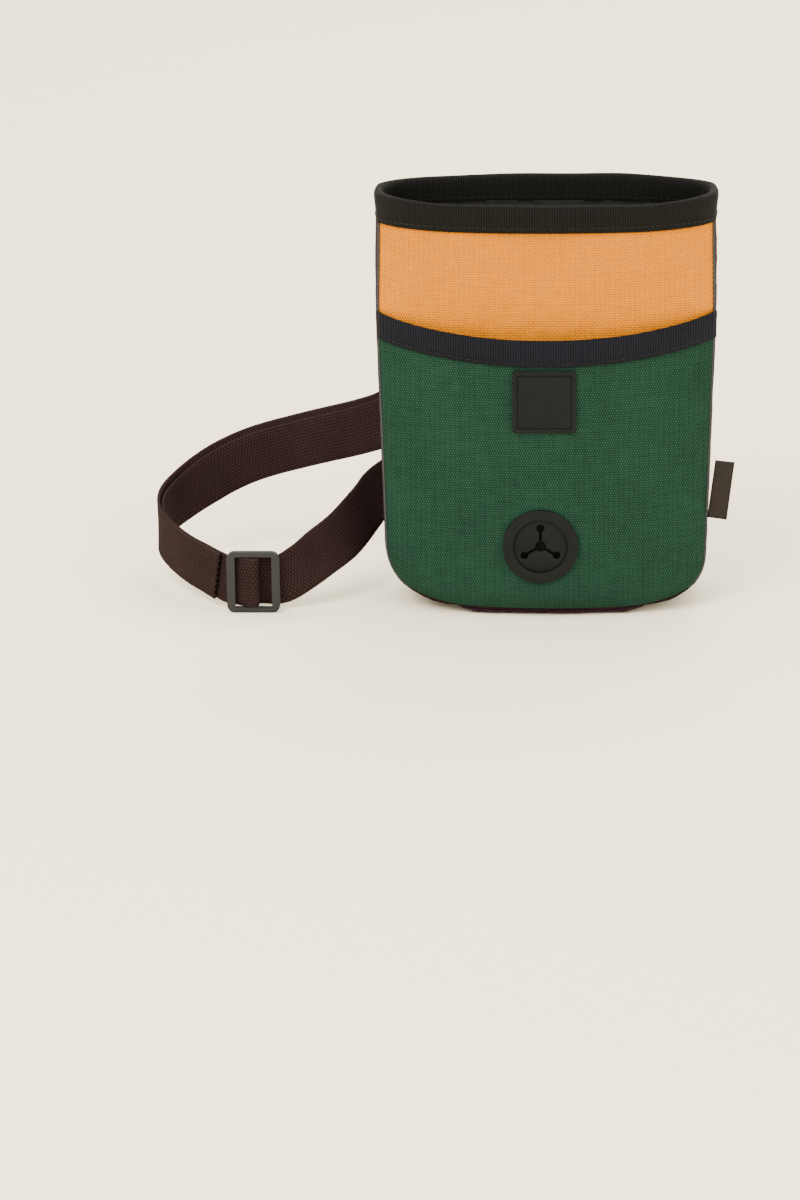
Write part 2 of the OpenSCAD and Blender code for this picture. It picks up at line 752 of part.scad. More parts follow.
module female_buckle() {
    plane = 1.2;
    arm_t = 4;
    waist_t = 6;
    collar_t = 8;
    cavity_w = 24.8;
    cavity_t = 5.2;
    shoulder_z = -20.6;
    tongue_w = 6.4;
    tongue_t = 3;
    waist = [[0, -3.8], [8.5, -3.6], [bar_half, -3.2], [bar_half + rail_t, -3.2],
        [11.4, -6.4], [8.4, -10], [7.1, -14], [7.3, -17.6], [8.6, shoulder_z], [0, shoulder_z]];
    collar = [[0, -19.6], [8.4, -19.6], [12.6, shoulder_z], [13.4, -24], [14.2, -30.6],
        [9.5, -28.4], [4.8, -27], [0, -26.6]];
    arms = [[bar_half, 1.6], [bar_half + rail_t, 1.6], [bar_half + rail_t, -3.2], [bar_half, -3.2]];
    color("#1c1c1c") translate([female_x, bar_y, female_bar_z]) difference() {
        union() {
            plate(waist, plane, waist_t);
            plate(collar, plane, collar_t);
            mirror_pair() translate([0, plane, 0]) rotate([90, 0, 0])
                linear_extrude(arm_t, center = true) polygon(arms);
            x_bar(bar_r, bar_half + eps);
            for (z = [-8.6, -13.2]) translate([0, plane, z]) rotate([-90, 0, 0])
                cylinder(r = 5, h = waist_t / 2 + 0.8, $fn = round_fn);
        }
        translate([-cavity_w / 2, plane - cavity_t / 2, -31])
            cube([cavity_w, cavity_t, 31 + shoulder_z + 0.4]);
        translate([-tongue_w / 2, plane - tongue_t / 2, -31]) cube([tongue_w, tongue_t, 25]);
    }
}

male_plane = 1.7;
module male_buckle_frame() {
    rail_low = -8.4;
    rail_high = 4;
    rail_deep = 4.6;
    ladder_low = -5.2;
    ladder_high = -1.4;
    ladder_y = 3.1;
    ladder_t = 1.5;
    ribs = 16;
    rib_pitch = 2 * bar_half / ribs;
    rib_w = 0.5;
    rib_d = 0.4;
    curve_r = 25.8;
    curve_in = 24;
    curve_z = 13.5;
    bow_t = 3.2;
    tongue_w = 5.7;
    tongue_t = 2.4;
    tongue_end = -33.3;
    outer = bar_half + rail_t;
    color("#262626") translate([male_x, bar_y, male_bar_z]) difference() {
        union() {
            x_bar(bar_r, bar_half + eps);
            mirror_pair() translate([bar_half, -bar_r, rail_low])
                cube([rail_t, rail_deep + bar_r, rail_high - rail_low]);
            translate([-bar_half, ladder_y, ladder_low])
                cube([2 * bar_half, ladder_t, ladder_high - ladder_low]);
            intersection() {
                translate([0, male_plane, curve_z]) rotate([90, 0, 0]) difference() {
                    cylinder(r = curve_r, h = bow_t, center = true, $fn = 180);
                    cylinder(r = curve_in, h = 2 * bow_t, center = true, $fn = 180);
                }
                translate([-outer, -reach / 2, -reach + ladder_low]) cube([2 * outer, reach, reach]);
            }
            translate([-tongue_w / 2, male_plane - tongue_t / 2, tongue_end])
                cube([tongue_w, tongue_t, -tongue_end + curve_z - curve_r + 1]);
        }
        for (i = [0 : ribs - 1])
            translate([-bar_half + (i + 0.5) * rib_pitch - rib_w / 2, ladder_y + ladder_t - rib_d,
                ladder_low]) cube([rib_w, 2 * rib_d, ladder_high - ladder_low]);
    }
}

module male_prong(side) {
    stem_in = 11;
    stem_out = 13.2;
    stem_t = 2;
    stem_top = -10.4;
    stem_gap = 0.6;
    pad_t = 3.6;
    pad_top = stem_top - 9;
    pad = [[stem_out, pad_top], [13.9, -21.2], [13.6, -25], [12, -29.6], [10.4, -27.6], [8.3, -23.6],
        [8.5, -20.4], [9.8, pad_top]];
    color("#262626") translate([male_x, bar_y + male_plane, male_bar_z]) rotate([90, 0, 0])
        difference() {
            union() {
                linear_extrude(stem_t, center = true) polygon([[side * stem_in, stem_top],
                    [side * stem_out, stem_top], [side * stem_out, pad_top], [side * stem_in, pad_top]]);
                linear_extrude(pad_t, center = true) polygon([for (p = pad) [side * p[0], p[1]]]);
            }
            translate([side * (stem_in + stem_out) / 2 - stem_gap / 2, pad_top + 1, stem_t / 2 - 0.5])
                cube([stem_gap, stem_top - pad_top - 2, 1]);
        }
}
module male_prong_left() { male_prong(-1); }
module male_prong_right() { male_prong(1); }

// ---- The webbing strap and its tri-glide ----

slide_x = -143;
slide_y = -33.8;
slide_z = 15.5;
slide_w = 26;
slide_h = 31;
slide_t = 2.8;
slide_bar_w = 4;
slide_bar_r = 1.3;
slide_round = 4;
running_y = -29.8;
layer_pitch = web_t + 2 * gap;
// Middle of the outer layer, from the tri-glide round the bend to the belt loop and round it
outer_route = [
    [-161, -28, 16.5], [-168, -21, 18.5], [-178, -10, 21], [-188, 6, 24], [-193.5, 20, 27],
    [-194.5, 34, 30], [-192, 47, 32.5], [-186, 58, 35.5], [-176, 66, 41], [-162, 70, 48.5],
    [-145, 70, 55.5], [-120, 63, 64], [-92, 50, 74], [-77, 44, 81], [-63, 40.2, 92], [-52, 38, 102],
    [-44, 37.3, 107], [-32, 37.3, 108], [-18, 37.3, 108], [-16.2, 36.5, 108], [-15.5, 34.8, 108],
    [-16.2, 33.1, 108], [-18, 32.3, 108], [-20, 32.3, 108]];
// How many of those points the two layers share, side by side
shared = 15;
layer_drop = 3;
// The inner layer's own points: from the fold, and past the tri-glide to the second belt loop
inner_start = [[-20, 32.3, 108], [-34, 32.3, 108], [-48, 33, 105.5], [-56, 35.6, 98.5]];
inner_end = [
    [-155, -29.6, 15.6, 0], [-148, running_y, 15.5, 0], [-138, running_y, 15.5, 0],
    [-129, running_y, 15.8, 0], [-119, -26, 21, -0.3], [-111, -18, 25.5, -0.6], [-100, -4, 31, -0.7],
    [-90, 16, 38.5, -0.5], [-84.5, 29, 43, -0.5], [-77, 40, 46.5, -0.4], [-65, 50.5, 50.5, -0.2],
    [-48, 54, 55, 0], [-32, 51.5, 61, 0], [-19, 47, 70, 0], [-8.5, 42.4, 81, 0], [-1, 38.6, 91, 0],
    [6, 36.8, 100, 0], [12, 36.8, 105.5, 0], [18, 37.3, 107.6, 0], [26, 37.3, 108, 0],
    [42, 37.3, 108, 0], [43.8, 36.5, 108, 0], [44.5, 34.8, 108, 0], [43.8, 33.1, 108, 0],
    [42, 32.3, 108, 0], [28, 32.3, 108, 0], [18, 32.6, 107.2, 0], [11.5, 33.8, 104, 0],
    [6, 34.9, 99, 0], [1, 36, 92.5, 0]];
function layer_beside(i) = let (t = path_dir(outer_route, i))
    outer_route[i] + layer_pitch * unit(cross(t, [0, 0, 1])) - [0, 0, layer_drop * min(1, i / 6)];
inner_shared = [for (i = [shared - 1 : -1 : 0]) layer_beside(i)];
module strap_outer_layer() {
    color("#5a4445") swept(ribbon_rings(smooth(leaning(outer_route, 0), 2), web_w, web_t));
}
module strap_inner_layer() {
    route = concat(leaning(concat(inner_start, inner_shared), 0), inner_end);
    color("#564041") swept(ribbon_rings(smooth(route, 2), web_w, web_t));
}

// The strap's sewn end, folded round the tri-glide's middle bar
module strap_end_fold() {
    r = slide_bar_r + bar_fit + web_h;
    behind_y = slide_y + slide_t / 2 + web_h + 0.1;
    route = concat([[slide_x - slide_w / 2 + 1.5, behind_y], [slide_x - 8.6, behind_y],
        [slide_x - 5.4, behind_y - 2.2]], arc(slide_x, slide_y, r, 215, 450, 14));
    color("#5a4445") translate([0, 0, slide_z - web_w / 2])
        linear_extrude(web_w) polygon(concat(beside(route, web_h), reversed(beside(route, -web_h))));
}

module triglide() {
    inner_h = web_w + 0.6;
    window = slide_w - 2 * slide_bar_w;
    flat_w = slide_w - 2 * slide_round;
    flat_h = slide_h - 2 * slide_round;
    color("#3f4143") translate([slide_x, slide_y, slide_z]) rotate([90, 0, 0]) {
        linear_extrude(slide_t, center = true) difference() {
            union() {
                square([slide_w, flat_h], center = true);
                square([flat_w, slide_h], center = true);
                for (x = [-flat_w / 2, flat_w / 2], z = [-flat_h / 2, flat_h / 2])
                    translate([x, z]) circle(slide_round, $fn = round_fn);
            }
            square([window, inner_h], center = true);
        }
        translate([0, -inner_h / 2 - eps, 0]) rotate([-90, 0, 0])
            cylinder(r = slide_bar_r, h = inner_h + 2 * eps, $fn = round_fn);
    }
}

back_panel();
front_panel();
gusset();
front_pocket();
mouth_binding();
pocket_binding();
piping_front();
piping_back();
lining();
drawstring_collar();
drawcord_loop();
cord_eyelet();
drawcord_strand_a();
drawcord_strand_b();
cord_knot();
cord_lock_body();
cord_lock_plunger();
cord_lock_spring();
patch();
dispenser_ring();
dispenser_disc();
side_label();
zip_tape_left();
zip_tape_right();
zip_coil_left();
zip_coil_right();
zip_slider();
zip_pull_ring();
zip_pull_tab();
zip_pull_reflector();
zip_pocket_bag();
belt_loop_left();
belt_loop_right();
bartacks();
buckle_strap_female();
buckle_strap_male();
female_buckle();
male_buckle_frame();
male_prong_left();
male_prong_right();
strap_outer_layer();
strap_inner_layer();
strap_end_fold();
triglide();
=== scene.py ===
import math

import bpy
import numpy as np
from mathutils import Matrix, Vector


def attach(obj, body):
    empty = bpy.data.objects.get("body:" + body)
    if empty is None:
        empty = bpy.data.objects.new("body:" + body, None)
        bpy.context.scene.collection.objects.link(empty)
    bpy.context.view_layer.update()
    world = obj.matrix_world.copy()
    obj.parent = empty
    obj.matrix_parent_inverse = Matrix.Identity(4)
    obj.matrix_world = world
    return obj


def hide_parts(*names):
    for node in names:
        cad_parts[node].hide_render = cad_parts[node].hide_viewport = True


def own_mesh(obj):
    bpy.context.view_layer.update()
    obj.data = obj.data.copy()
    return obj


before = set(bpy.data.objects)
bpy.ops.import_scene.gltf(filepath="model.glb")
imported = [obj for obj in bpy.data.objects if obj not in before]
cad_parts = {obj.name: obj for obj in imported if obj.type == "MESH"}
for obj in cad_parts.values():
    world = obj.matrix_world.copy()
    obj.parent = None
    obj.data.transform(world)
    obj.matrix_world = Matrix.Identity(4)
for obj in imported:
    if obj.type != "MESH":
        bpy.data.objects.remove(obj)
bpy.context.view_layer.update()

MM = 0.001
TURN = 2 * math.pi
UP = (0, 0, 1)


# ---- Camera, first, because the cords are measured against its view ----

def add_object(name, data):
    thing = bpy.data.objects.new(name, data)
    bpy.context.scene.collection.objects.link(thing)
    return thing


def make_camera():
    elevation, distance = math.radians(14.31), 2.0
    target = Vector((0, 0, 0.1))
    eye = target + distance * Vector((0, -math.cos(elevation), math.sin(elevation)))
    data = bpy.data.cameras.new("camera")
    data.lens, data.sensor_width, data.sensor_fit = 122.16, 36, "AUTO"
    data.clip_start, data.clip_end = 0.05, 100
    camera = add_object("camera", data)
    # The pouch's middle lies right of the camera's axis and above it, so the camera is turned
    beside_axis = Vector((0.0716, 0.0997, -distance))
    aim = (target - eye).to_track_quat("-Z", "Y")
    camera.location = eye
    camera.rotation_mode = "QUATERNION"
    camera.rotation_quaternion = aim @ beside_axis.rotation_difference(Vector((0, 0, -1)))
    bpy.context.scene.camera = camera


make_camera()


# ---- Shader nodes ----

class Value:
    """A shader's socket, which adds and multiplies like a number."""

    def __init__(self, shader, socket):
        self.shader, self.socket = shader, socket

    def of(self, kind, *more):
        return self.shader.math(kind, self, *more)

    def __add__(self, other): return self.of("ADD", other)
    def __sub__(self, number): return self.of("ADD", -number)
    def __rsub__(self, other): return self.shader.math("SUBTRACT", other, self)
    def __mul__(self, other): return self.of("MULTIPLY", other)
    __radd__, __rmul__ = __add__, __mul__


class Shader:
    """A material whose pattern is worked out in millimetres, from its UVs or its place."""

    def __init__(self, name, uv=True):
        self.mat = bpy.data.materials.new(name)
        self.mat.use_nodes = True
        self.tree = self.mat.node_tree
        self.out = self.tree.nodes["Principled BSDF"]
        if uv:
            self.place = self.node("UVMap", 0, {})
        else:
            self.place = self.node("VectorMath", 0, {0: self.node("TexCoord", "Object", {}),
                                                     "Scale": 1 / MM}, operation="SCALE")
        self.u, self.v = (self.node("SeparateXYZ", i, {0: self.place}) for i in (0, 1))

    def put(self, socket, value):
        if isinstance(value, Value):
            self.tree.links.new(value.socket, socket)
        else:
            socket.default_value = value

    def node(self, kind, output, inputs, **settings):
        """One output of a new node, whose inputs and output go by name or by number."""
        node = self.tree.nodes.new("ShaderNode" + kind)
        for key, value in settings.items():
            setattr(node, key, value)
        for key, value in inputs.items():
            self.put(node.inputs[key], value)
        return Value(self, node.outputs[output])

    def math(self, kind, *values):
        return self.node("Math", 0, dict(enumerate(values)), operation=kind)

    def wave(self, a, pitch): return (a * (TURN / pitch)).of("COSINE")
    def hoops(self, a, pitch): return (a * (math.pi / pitch)).of("SINE").of("ABSOLUTE")
    def arch(self, a): return ((a.of("FRACT") - 0.5) * math.pi).of("COSINE")

    def noise(self, size, detail=3, rough=0.55, stretch=(1, 1, 1)):
        """0 to 1 noise whose lumps are about size millimetres."""
        place = self.node("VectorMath", 0, {0: self.place, 1: [s / size for s in stretch]},
                          operation="MULTIPLY")
        return self.node("TexNoise", "Fac", {"Vector": place, "Scale": 1, "Detail": detail,
                                             "Roughness": rough})

    def mix(self, share, a, b):
        """A colour from a to b; the node's sockets for colours are numbers 6, 7 and 2."""
        return self.node("Mix", 2, {0: share, 6: (*a, 1), 7: (*b, 1)}, data_type="RGBA",
                         clamp_factor=True)

    def bump(self, height, depth):
        sizes = {"Strength": 1, "Distance": depth * MM, "Height": height}
        self.put(self.out.inputs["Normal"], self.node("Bump", 0, sizes))

    def finish(self, share, dark, light, rough, sheen=0.0, specular=0.3, metal=0.0):
        """The colour goes from dark to light with share."""
        values = {"Base Color": self.mix(share, dark, light), "Roughness": rough,
                  "Specular IOR Level": specular, "Metallic": metal}
        if sheen:
            values.update({"Sheen Weight": sheen, "Sheen Roughness": 0.45, "Sheen Tint": (*light, 1)})
        for key, value in values.items():
            self.put(self.out.inputs[key], value)
        return self.mat


def canvas(name, dark, light, pitch=1.15, ribs=0.0, depth=0.28, sheen=0.12):
    """Plain woven cloth: threads pass over and under each other, with uneven yarn."""
    s = Shader(name)
    cv = s.v * (1 / pitch)
    odd = cv.of("FLOOR").of("PINGPONG", 1)
    cu = s.u * (1 / pitch) + (odd * 0.5 + s.noise(9, 2) * 0.5)
    turn = (cu.of("FLOOR") + cv.of("FLOOR")).of("PINGPONG", 1)
    fu, fv = s.arch(cu), s.arch(cv)
    height = fu * (0.55 + fv * 0.45) * (1 - turn) + fv * (0.45 + fu * 0.45) * turn
    if ribs:
        height = height * (1 - ribs) + fu * ribs
    yarn, slub = s.noise(2.2, 2, 0.6, (1, 0.18, 1)), s.noise(2.0, 2, 0.6, (0.18, 1, 1))
    worn = s.noise(34, 3)
    s.bump(height + s.noise(0.5, 2) * 0.25, depth)
    # The colour follows the weave's height: painted shade in the gaps between threads, lighter on
    # their crowns.
    share = height * 1.15 + (yarn + slub) * 0.35 + worn * 0.35 - 0.72
    return s.finish(share, dark, light, 0.78 + worn * 0.15, sheen, 0.02)


def ribbed(name, dark, light, pitch=1.2, depth=0.3, sheen=0.1):
    """Grosgrain tape: round cross ribs, bound by a fine warp."""
    s = Shader(name)
    rib, warp = s.hoops(s.u, pitch), s.wave(s.v, 0.45)
    fuzz, worn = s.noise(1.6, 3), s.noise(25, 2)
    s.bump(rib + warp * 0.1 + fuzz * 0.2, depth)
    # The colour follows the ribs' height: painted shade in the grooves between the ribs.
    return s.finish(rib * 0.95 + (fuzz * 0.6 + worn * 0.3) - 0.45, dark, light, 0.8, sheen, 0.08)


def webbing(name, dark, light, width=25.0, depth=0.32):
    """Flat webbing: staggered floats in narrow columns, with a corded edge."""
    s = Shader(name)
    float_pitch, column, cord_pitch, cord_w = 1.7, 1.55, 1.15, 1.3
    column_at = s.v * (1 / column)
    along = s.u * (1 / float_pitch) + column_at.of("FLOOR").of("PINGPONG", 1) * 0.5
    height = s.arch(along).of("POWER", 0.6) * (0.4 + s.arch(column_at) * 0.6)
    edge = s.v.of("ABSOLUTE").of("GREATER_THAN", width / 2 - cord_w)
    height = height * (1 - edge) + s.hoops(s.u, cord_pitch) * edge
    fuzz, worn = s.noise(1.1, 3), s.noise(22, 3)
    s.bump(height + fuzz * 0.3, depth)
    # The colour follows the weave's height: painted shade between the floats and between the edge
    # cord's turns.
    share = height * 0.75 + fuzz * 0.45 + (worn * 0.4 - 0.5) + edge * 0.14
    return s.finish(share, dark, light, 0.88, 0, 0.03)


def soft_nylon(name, dark, light, pitch=0.42):
    """Thin lining cloth: a fine weave with soft folds."""
    s = Shader(name)
    weave = s.wave(s.u, pitch) * s.wave(s.v, pitch)
    folds = s.noise(9, 4, 0.6)
    s.bump(weave * 0.15 + folds * 2.5, 0.35)
    # The colour follows the height of the folds and of the weave: painted shade in the fold hollows,
    # which are only bumps.
    return s.finish(folds * 0.9 + (weave * 0.12 - 0.2), dark, light, 0.65, 0.1, 0.15)


def moulded(name, dark, light, rough, grain, depth, specular, metal=0.0):
    """Moulded plastic, rubber or coated metal with a fine grain and slight wear."""
    s = Shader(name, uv=False)
    fine, broad = s.noise(grain, 2), s.noise(9, 4, 0.6)
    scratch = s.noise(1.4, 2, 0.7, (1, 0.12, 0.3))
    s.bump(fine + scratch * 0.4, depth)
    shine = rough - 0.12 + (broad * 0.16 + scratch * 0.1)
    return s.finish(broad * 0.9 + (scratch * 0.35 - 0.25), dark, light, shine, 0, specular, metal)


def braided(name, dark, light, turn=1.5):
    """Round braid: two sets of yarns wind round the cord in opposite ways."""
    s = Shader(name)
    one, two = (((s.u + s.v * way) * (TURN / turn)).of("SINE") for way in (1, -1))
    height, fuzz = one.of("MAXIMUM", two), s.noise(0.7, 3)
    s.bump(height + fuzz, 0.16)
    # The colour follows the yarns' height: painted shade between the crossing yarns.
    return s.finish(height * 0.5 + fuzz * 0.4, dark, light, 0.75, 0.2)


def satin(name, dark, light):
    """Label satin: fine lines, with painted shade between them, and a soft, uneven painted sheen in
    its colour.
    """
    s = Shader(name)
    lines = s.wave(s.u, 0.35)
    s.bump(lines * 0.5 + s.noise(0.6, 2), 0.06)
    return s.finish(s.noise(11, 3) * 1.1 + (lines * 0.2 - 0.2), dark, light, 0.5, 0.1, 0.2)


def reflective(name, dark, light):
    """Glass-bead tape: a grey film with a fine honeycomb of sealed cells."""
    s = Shader(name)
    inside = s.node("TexVoronoi", "Distance", {"Scale": 1.1, "Randomness": 0.15, "Vector": s.place})
    s.bump(inside, 0.05)
    return s.finish(inside * -0.5 + (0.75 + s.noise(14, 2) * 0.3), dark, light, 0.36, 0, 0.6)


def thread(name, dark, light):
    """Sewing thread with a slanting twist."""
    s = Shader(name)
    twist = ((s.u + s.v * 1.4) * (TURN / 0.7)).of("SINE")
    s.bump(twist, 0.05)
    # The colour follows the twist: painted shade in the grooves of the twist.
    return s.finish(twist * 0.3 + s.noise(3, 2), dark, light, 0.6, 0.2)


# ---- Meshes ----

def new_object(name, verts, faces, uvs, material, body, nodes=()):
    """A mesh from points in millimetres; uvs holds one pair for each point, in millimetres too."""
    mesh = bpy.data.meshes.new(name)
    mesh.from_pydata([tuple(p) for p in np.asarray(verts) * MM], [], faces)
    layer = mesh.uv_layers.new(name="UVMap")
    index = np.zeros(len(mesh.loops), int)
    mesh.loops.foreach_get("vertex_index", index)
    layer.data.foreach_set("uv", np.asarray(uvs, float)[index].ravel())
    mesh.materials.append(material)
    mesh.polygons.foreach_set("use_smooth", [True] * len(mesh.polygons))
    mesh.update()
    thing = add_object(name, mesh)
    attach(thing, body)
    if nodes:
        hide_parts(*nodes)
    return thing


def grid_faces(rows, cols, wrap=False, flip=False, base=0):
    faces = []
    for i in range(rows - 1):
        a, b = base + i * cols, base + (i + 1) * cols
        for j in range(cols if wrap else cols - 1):
            k = (j + 1) % cols
            f = (a + j, a + k, b + k, b + j)
            faces.append(f[::-1] if flip else f)
    return faces


def tube_faces(rows, n, base=0):
    """Sides and both ends of a tube of rows of n points."""
    last = base + (rows - 1) * n
    return grid_faces(rows, n, True, base=base) + [tuple(base + j for j in range(n - 1, -1, -1)),
                                                   tuple(last + j for j in range(n))]


def sheet(name, grid, u, v, material, nodes, thick=0.0, offset=-1.0, flip=False, faces=None,
          body="pouch"):
    """Cloth over a grid of points in rows; u and v are its UVs, and thick is added on one side."""
    rows, cols = grid.shape[:2]
    uvs = np.stack(np.broadcast_arrays(u, v, grid[..., 0])[:2], axis=-1).reshape(-1, 2)
    faces = grid_faces(rows, cols, flip=flip) if faces is None else faces
    thing = new_object(name, grid.reshape(-1, 3), faces, uvs, material, body, nodes)
    if thick:
        mod = thing.modifiers.new("thickness", "SOLIDIFY")
        mod.thickness, mod.offset, mod.use_even_offset = thick * MM, offset, False
    return thing


def curve_through(points, step):
    """Points about step apart on a smooth curve through the given ones, of three values or more."""
    p = np.asarray(points, float)
    out = []
    for i in range(len(p) - 1):
        a, b, c, d = p[max(i - 1, 0)], p[i], p[i + 1], p[min(i + 2, len(p) - 1)]
        n = max(1, int(round(np.linalg.norm((c - b)[:3]) / step)))
        for k in range(n):
            s = k / n
            out.append(0.5 * (2 * b + (c - a) * s + (2 * a - 5 * b + 4 * c - d) * s * s
                              + (3 * b - a - 3 * c + d) * s ** 3))
    return np.array(out + [p[-1]])


def unit_rows(v):
    return v / np.maximum(np.linalg.norm(v, axis=1), 1e-9)[:, None]


def directions(p):
    return unit_rows(np.gradient(p, axis=0))


def lengths(p):
    return np.concatenate([[0], np.cumsum(np.linalg.norm(np.diff(p, axis=0), axis=1))])


def flat_points(x, z):
    return np.column_stack([x, np.zeros(len(x)), z])


def arc(cx, cy, r, a0, a1, n):
    a = np.radians(np.linspace(a0, a1, n + 1))
    return [(cx + r * math.cos(q), cy + r * math.sin(q)) for q in a]


def rounded_box(x, low, high, r):
    """Closed outline of a rounded rectangle, 2x wide."""
    points = []
    for cx, cz, a in ((x - r, high - r, 0), (r - x, high - r, 90), (r - x, low + r, 180),
                      (x - r, low + r, 270)):
        points += arc(cx, cz, r, a, a + 90, 6)
    return np.array(points + points[:1])


def sweep(name, line, side, section, material, body, nodes=(), closed=False):
    """Sweeps a closed section of (along side, along normal) points, one or one for each line point."""
    line = np.asarray(line, float)
    t = directions(line)
    if closed:
        t = unit_rows(np.roll(line, -1, 0) - np.roll(line, 1, 0))
    side = np.broadcast_to(np.asarray(side, float), line.shape)
    side = unit_rows(side - (side * t).sum(1)[:, None] * t)
    normal = np.cross(side, t)
    section = np.asarray(section, float)
    if section.ndim == 2:
        section = np.broadcast_to(section, (len(line), *section.shape))
    rows, n = section.shape[:2]
    verts = line[:, None] + section[..., :1] * side[:, None] + section[..., 1:] * normal[:, None]
    around = np.cumsum(np.linalg.norm(section[0] - np.roll(section[0], 1, 0), axis=1))
    flat = n >= 12 and np.ptp(section[0][:, 0]) > 4 * np.ptp(section[0][:, 1])
    across = section[0][:, 0] if flat else around
    uvs = np.stack([np.repeat(lengths(line), n), np.tile(across, rows)], axis=1)
    if closed:
        faces = [tuple(i % (rows * n) for i in f) for f in grid_faces(rows + 1, n, True)]
    else:
        faces = tube_faces(rows, n)
    return new_object(name, verts.reshape(-1, 3), faces, uvs, material, body, nodes)


def band_section(width, thick):
    """Flat section of webbing with rounded edges."""
    half, edge = width / 2, thick * 0.5
    x = np.linspace(-half + edge * 0.7, half - edge * 0.7, 9)
    right = [(half - edge * 0.2, edge * 0.6), (half, 0), (half - edge * 0.2, -edge * 0.6)]
    top = [(a, edge) for a in x]
    return np.array(top + right + [(-a, -b) for a, b in top + right])


def round_section(radius, n=10):
    a = np.arange(n) * TURN / n
    return np.stack([radius * np.cos(a), radius * np.sin(a)], axis=1)


def bumps(*coords, seed=1, size=30.0, terms=14):
    """Smooth repeatable lumps from -1 to 1, as a sum of waves in every direction."""
    r = np.random.default_rng(seed)
    total = np.zeros(np.broadcast(*coords).shape)
    for _ in range(terms):
        way = r.normal(size=len(coords))
        way *= TURN / (size * r.uniform(0.6, 1.8)) / np.linalg.norm(way)
        total = total + np.sin(sum(w * c for w, c in zip(way, coords)) + r.uniform(0, 6.3))
    return total / math.sqrt(terms)


def smoothstep(a, b, x):
    t = np.clip((x - a) / (b - a), 0, 1)
    return t * t * (3 - 2 * t)


def stitches(name, rows, material, body="pouch", length=2.3, gap=0.9, radius=0.28, sink=0.1,
             nodes=()):
    """Rows of separate lock stitches; a row is (line, outward normals)."""
    verts, faces, uvs = [], [], []
    ring = np.arange(6) * math.pi / 3
    ends = [(-0.5, 0.35), (-0.36, 0.9), (0, 1.05), (0.36, 0.9), (0.5, 0.35)]
    for line, out in rows:
        line, out = np.asarray(line, float), np.broadcast_to(np.asarray(out, float), np.shape(line))
        far = lengths(line)

        def along(values, at):
            return np.array([np.interp(at, far, values[:, k]) for k in range(3)])

        count = max(1, int(far[-1] / (length + gap)))
        for at in (np.arange(count) + 0.5) * far[-1] / count:
            p, n = along(line, at), along(out, at)
            t = along(line, min(at + 0.5, far[-1])) - along(line, max(at - 0.5, 0))
            t /= max(np.linalg.norm(t), 1e-9)
            n = n - (n @ t) * t
            n /= max(np.linalg.norm(n), 1e-9)
            s = np.cross(t, n)
            faces += tube_faces(len(ends), len(ring), len(verts))
            for a, grow in ends:
                dip = radius * (1 - 4 * a * a) * 0.6 - sink
                for g in ring:
                    verts.append(p + a * length * t + (dip + radius * grow * math.sin(g)) * n
                                 + radius * grow * math.cos(g) * s)
                    uvs.append((a * length, g))
    return new_object(name, verts, faces, uvs, material, body, nodes)


# ---- Materials: darkest and lightest colour, then the pattern's own sizes ----

def grey(level):
    return level, level, level


GREEN = canvas("green canvas", (0.003, 0.012, 0.008), (0.018, 0.054, 0.034), 1.2, 0.35, 0.3)
GREEN_BACK = canvas("green back canvas", (0.002, 0.010, 0.007), (0.024, 0.070, 0.046), 1.3, 0.0, 0.34)
ORANGE = canvas("orange canvas", (0.34, 0.105, 0.0), (0.74, 0.225, 0.0), 1.2, 0.25, 0.3, 0.0)
PLUM = canvas("plum canvas", (0.015, 0.007, 0.010), (0.055, 0.028, 0.036), 1.0, 0.1)
PIPING = canvas("grey piping", (0.02, 0.022, 0.022), (0.07, 0.075, 0.08), 0.7, 0.0, 0.12)
BLACK_TAPE = ribbed("black grosgrain", grey(0.0008), (0.007, 0.0066, 0.006))
NAVY_TAPE = ribbed("navy grosgrain", (0.001, 0.0012, 0.002), (0.0075, 0.0085, 0.014))
LINING = soft_nylon("black lining", grey(0.002), grey(0.012))
COLLAR = soft_nylon("collar cloth", grey(0.002), (0.014, 0.0135, 0.0135), 0.5)
ZIP_TAPE = soft_nylon("coated zip tape", grey(0.0015), (0.008, 0.008, 0.0085), 0.6)
WEB = webbing("plum webbing", (0.007, 0.0035, 0.0036), (0.034, 0.0195, 0.0195))
CORD = braided("black braid", grey(0.001), grey(0.014))
RUBBER = moulded("black rubber", (0.0013, 0.0017, 0.0019), (0.0052, 0.0064, 0.007), 0.66, 0.3, 0.05,
                 0.12)
PLASTIC = moulded("black plastic", grey(0.0012), grey(0.005), 0.45, 0.25, 0.03, 0.2)
GREY = moulded("grey plastic", (0.004, 0.0047, 0.0056), (0.012, 0.0138, 0.016), 0.5, 0.3, 0.04, 0.3)
ZIP_METAL = moulded("black enamel", grey(0.004), grey(0.012), 0.28, 0.6, 0.01, 0.5)
STEEL = moulded("spring steel", grey(0.20), grey(0.36), 0.3, 0.5, 0.01, 0.5, 1.0)
LABEL = satin("label satin", (0.003, 0.0015, 0.0013), (0.011, 0.006, 0.0055))
REFLECT = reflective("reflective tape", (0.04, 0.04, 0.042), (0.12, 0.12, 0.123))
BLACK_THREAD = thread("black thread", grey(0.001), grey(0.0045))
GREEN_THREAD = thread("green thread", (0.012, 0.055, 0.034), (0.05, 0.16, 0.105))
PALE_EDGE = thread("cut edge", (0.06, 0.10, 0.075), (0.18, 0.24, 0.19))
PLUM_THREAD = thread("plum thread", (0.004, 0.0018, 0.002), (0.020, 0.010, 0.011))


# ---- Cinch cord: two free strands, made before the rest ----

